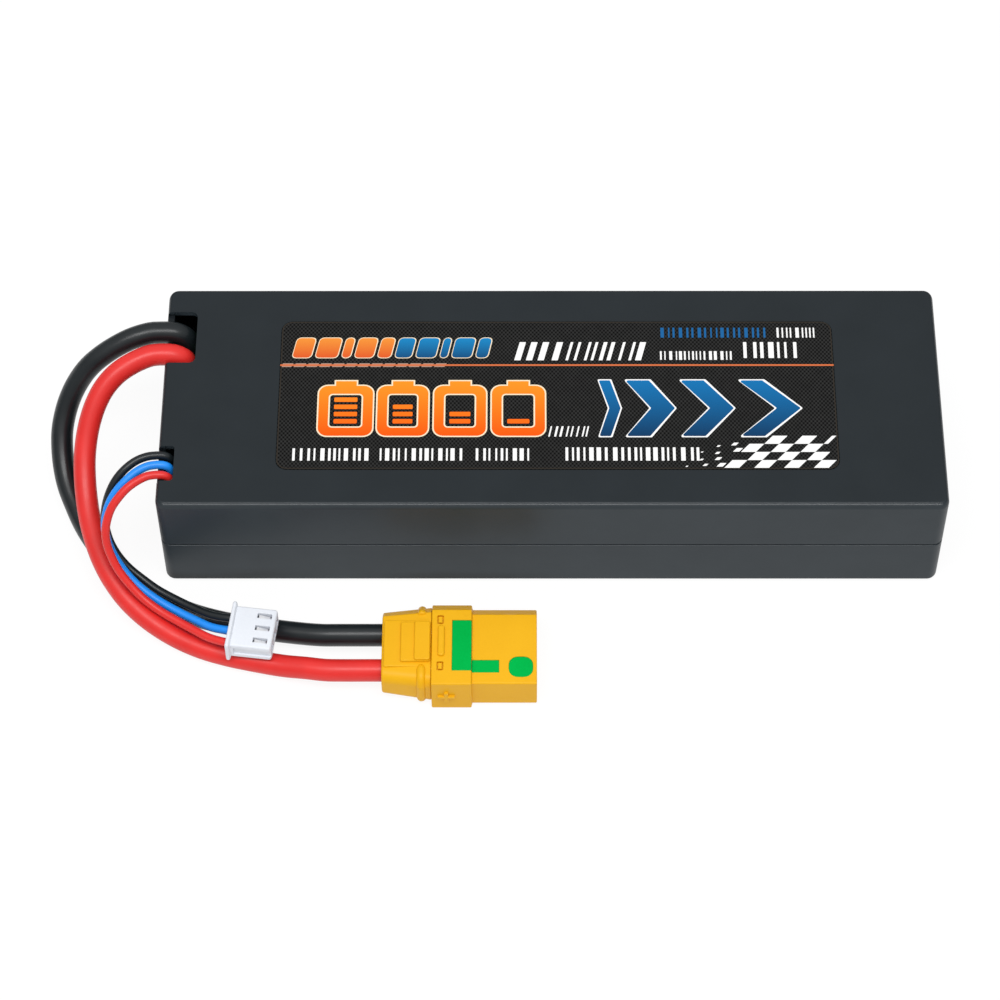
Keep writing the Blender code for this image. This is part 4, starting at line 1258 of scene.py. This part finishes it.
def plug_matrix():
    low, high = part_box("plug_contact_blue")
    axis = Vector(mount("balance_plug_face")["axis"])
    contact_middle = 0.15 * MM
    place = (low + high) / 2 + axis * contact_middle
    turn = math.atan2(axis.y, axis.x)
    return Matrix.Translation(place) @ Matrix.Rotation(turn, 4, "Z")


def make_plug(material, metal):
    """The three-way plug: a thin flange at the wires, channels for the contacts, and windows."""
    half = PLUG_LENGTH / 2
    edge, small = 0.35 * MM, 0.15 * MM

    def section(width, height):
        def loop(inset, x):
            return across(rectangle(width - 2 * inset, height - 2 * inset, edge, steps=4), x)
        return loop

    flange, body = section(*PLUG_FLANGE), section(PLUG_WIDTH, PLUG_THICKNESS)
    rear = -half - PLUG_FLANGE_LENGTH
    plug = object_of("plug_shell", skin([
        flange(small, rear),
        flange(0.0, rear + small),
        flange(0.0, -half - small),
        flange(small, -half),
        body(0.0, -half + small),
        *rounded_end(body, half, 0.45 * MM, 4),
    ]), plug_matrix())
    channel, window, groove, groove_depth = mm(0.95, 0.5, 0.9, 0.35)
    reach = half + PLUG_FLANGE_LENGTH + 1 * MM
    start, end = half - 3.4 * MM, half - 0.8 * MM
    cutters = []
    for place in (1, 0, -1):
        y = place * PLUG_PITCH
        low = (start, y - window, 0.0)
        cutters += [
            block((-reach, y - channel, -channel), (reach, y + channel, channel)),
            block(low, (end, y + window, PLUG_THICKNESS), 0.12 * MM),
        ]
    for side in (1, -1):
        y = side * PLUG_WIDTH / 2
        low = (-half + 0.6 * MM, y - groove_depth, -groove)
        cutters.append(block(low, (half + 1 * MM, y + groove_depth, groove)))
    carve(plug, cutters)
    show(plug, material, replaces=["balance_plug_housing"], sharp=30.0)
    for place, colour in ((1, "black"), (0, "blue"), (-1, "red")):
        make_plug_contact(colour, place * PLUG_PITCH, metal)


def make_plug_contact(colour, y, metal):
    """A crimped contact: a folded box at its mouth, with a sprung tongue in its window."""
    outer = 1.3 * MM
    inner = outer - 0.4 * MM
    mouth = PLUG_LENGTH / 2 - 0.6 * MM
    rear = -PLUG_LENGTH / 2 + 0.3 * MM
    sizes = [(inner, rear + 2.5 * MM), (inner, mouth), (outer, mouth), (outer, rear)]
    loops = [across(rectangle(size, size, 0.2 * MM, (y, 0.0), 3), x) for size, x in sizes]
    contact = object_of(f"crimp_{colour}", skin(loops), plug_matrix())
    top = outer / 2
    front, back, root = mouth - 0.6 * MM, mouth - 2.5 * MM, top - 0.15 * MM
    corners = ((back, root), (front, root), (front, top + 0.5 * MM), (back, top + 0.95 * MM))
    outline = [Vector(corner) for corner in corners]
    half = 0.38 * MM
    tongue = skin([facing_front(outline, y - half), facing_front(outline, y + half)])
    carve(contact, [tongue], "UNION")
    show(contact, metal, replaces=[f"plug_contact_{colour}"], sharp=30.0)


# -------- stage


def make_floor():
    """A sheet of paper, lit from below."""
    mesh = bmesh.new()
    bmesh.ops.create_grid(mesh, x_segments=2, y_segments=2, size=3.0)
    floor = object_of("floor", mesh)
    material, tree, shader = new_material("floor_paper", 0.9, specular_ior_level=0.0)
    tint(shader, noise(tree, 0.4), (0.09, 0.09, 0.09), (0.10, 0.10, 0.10))
    put(shader.inputs["Emission Color"], (1.0, 1.0, 1.0))
    put(shader.inputs["Emission Strength"], FLOOR_GLOW)
    floor.data.materials.append(material)


def make_sky():
    """White light from all around, dimmer towards the horizon."""
    world = bpy.data.worlds.new("studio")
    world.use_nodes = True
    bpy.context.scene.world = world
    tree = world.node_tree
    back = tree.nodes["Background"]
    put(back.inputs["Color"], (1.0, 1.0, 1.0))
    height = place_axes(tree, "Generated")[2]
    put(back.inputs["Strength"], spread(tree, height, HORIZON_GLOW, SKY_GLOW, 0.2, 0.75))
    bpy.context.scene.view_settings.view_transform = "Standard"


def make_light(name, place, aim, size, power):
    data = bpy.data.lights.new(name, "AREA")
    data.shape = "RECTANGLE"
    data.size, data.size_y = size
    data.energy = power
    light = bpy.data.objects.new(name, data)
    light.location = place
    light.rotation_euler = (Vector(aim) - Vector(place)).to_track_quat("-Z", "Y").to_euler()
    bpy.context.scene.collection.objects.link(light)
    return light


def make_lights():
    """A strip overhead for all, and a low one in front that only draws the line on the case's edge."""
    middle = (-0.01, -0.02, 0.0)
    make_light("overhead_strip", (-0.01, -0.33, 1.1), middle, (1.0, 0.3), 8.2)
    edge_light = make_light("edge_strip", (0.0, -1.5, 0.72), middle, (1.8, 0.3), 52.0)
    lit = bpy.data.collections.new("lit_by_edge_strip")
    for name in ("case_top_shell", "case_bottom_shell"):
        lit.objects.link(bpy.data.objects[name])
    edge_light.light_linking.receiver_collection = lit


# -------- the whole pack


def paint_inside(solder):
    """Materials for the CAD nodes that keep their shape. They lie inside the case."""
    film, board = pouch_film(), board_mask()
    nickel = plated_metal("nickel_strip", (0.48, 0.46, 0.42), (0.66, 0.64, 0.60), 0.32, (1, 0.1, 1))
    foam = foam_like("grey_foam", (0.22, 0.22, 0.21), (0.50, 0.50, 0.48), 0.5 * MM)
    sheet = foam_like("adhesive_paper", (0.62, 0.58, 0.46), (0.78, 0.75, 0.64), 0.9 * MM)
    chip = moulded_plastic("resistor_body", (0.008, 0.008, 0.008), (0.02, 0.02, 0.02), 0.5)
    finishes = {
        "pouch_film": film, "circuit_board": board, "nickel": nickel, "foam": foam,
        "adhesive": sheet, "solder": solder, "resistor_black": chip,
    }
    for part in frame["record"]["subparts"]:
        if part["material_slot"] in finishes and not frame["nodes"][part["node"]].hide_render:
            paint(part["node"], finishes[part["material_slot"]])


def label_inks():
    fade = [y * MM for y in CHEVRON_PRINT_Y]
    bar_fade = [y * MM for y in BAR_PRINT_Y]
    inks = {
        "brown": ((0.030, 0.024, 0.018), (0.040, 0.032, 0.024)),
        "cream": ((0.84, 0.70, 0.50), (0.92, 0.78, 0.58)),
        "orange": ((0.90, 0.085, 0.001), (0.92, 0.27, 0.015), *fade),
        "orange_bar": ((0.66, 0.090, 0.018), (0.78, 0.26, 0.035), *bar_fade),
        "orange_rule": ((0.60, 0.145, 0.05), (0.66, 0.165, 0.06)),
        "white": ((0.84, 0.84, 0.83), (0.92, 0.92, 0.91)),
        "blue": ((0.003, 0.036, 0.105), (0.005, 0.15, 0.39), *fade),
        "blue_bar": ((0.005, 0.065, 0.18), (0.008, 0.21, 0.48), *bar_fade),
        "blue_line": ((0.01, 0.11, 0.30), (0.015, 0.17, 0.42)),
        "pink": ((0.40, 0.25, 0.19), (0.46, 0.29, 0.22)),
    }
    materials = {name: printed_ink(f"ink_{name}", *look) for name, look in inks.items()}
    materials["weave"] = carbon_weave(
        "carbon_print", mm(0.345, 0.43), (0.0006, 0.0006, 0.0006), (0.0275, 0.0275, 0.027), 0.36
    )
    return materials


def main():
    jackets = {
        "black": silicone("silicone_black", (0.005, 0.008, 0.010), (0.010, 0.014, 0.016), 0.33),
        "red": silicone("silicone_red", (0.66, 0.021, 0.018), (0.75, 0.027, 0.023), 0.38),
        "blue": silicone("silicone_blue", (0.010, 0.24, 0.82), (0.012, 0.28, 0.92), 0.38),
    }
    leads = make_leads(jackets)
    case_plastic = moulded_plastic(
        "case_black", (0.0072, 0.0102, 0.0124), (0.0092, 0.0126, 0.0152), 0.37, grain=0.3 * MM,
        depth=0.005 * MM, specular_ior_level=0.2
    )
    make_upper_case(case_plastic)
    make_lower_case(case_plastic)
    make_label(label_inks())
    yellow = moulded_plastic("nylon_yellow", (0.77, 0.39, 0.004), (0.81, 0.425, 0.006), 0.42,
                             specular_ior_level=0.2)
    green = moulded_plastic("nylon_green", (0.0, 0.365, 0.052), (0.0, 0.435, 0.069), 0.55,
                            grain=0.35 * MM, depth=0.02 * MM, specular_ior_level=0.03)
    gold = plated_metal("gold", (0.72, 0.46, 0.14), (0.88, 0.62, 0.24), 0.25, (0.1, 1, 1))
    tin = plated_metal("tin", (0.70, 0.71, 0.73), (0.88, 0.88, 0.90), 0.42)
    solder = plated_metal("soldered_copper", (0.50, 0.50, 0.52), (0.68, 0.68, 0.70), 0.34)
    make_housing(yellow)
    make_polarity_mark(yellow)
    make_green_pieces(green)
    make_contact("negative", CONTACT_MOUTH, 1, gold, solder)
    make_contact("positive", RING_X[0] - 0.3 * MM, -1, gold, solder)
    make_sheath(yellow)
    white = moulded_plastic("nylon_white", (0.70, 0.73, 0.79), (0.76, 0.79, 0.84), 0.45,
                            specular_ior_level=0.35)
    make_plug(white, tin)
    paint_inside(solder)
    declare_leads()
    make_floor()
    make_sky()
    make_lights()


make_camera()
main()
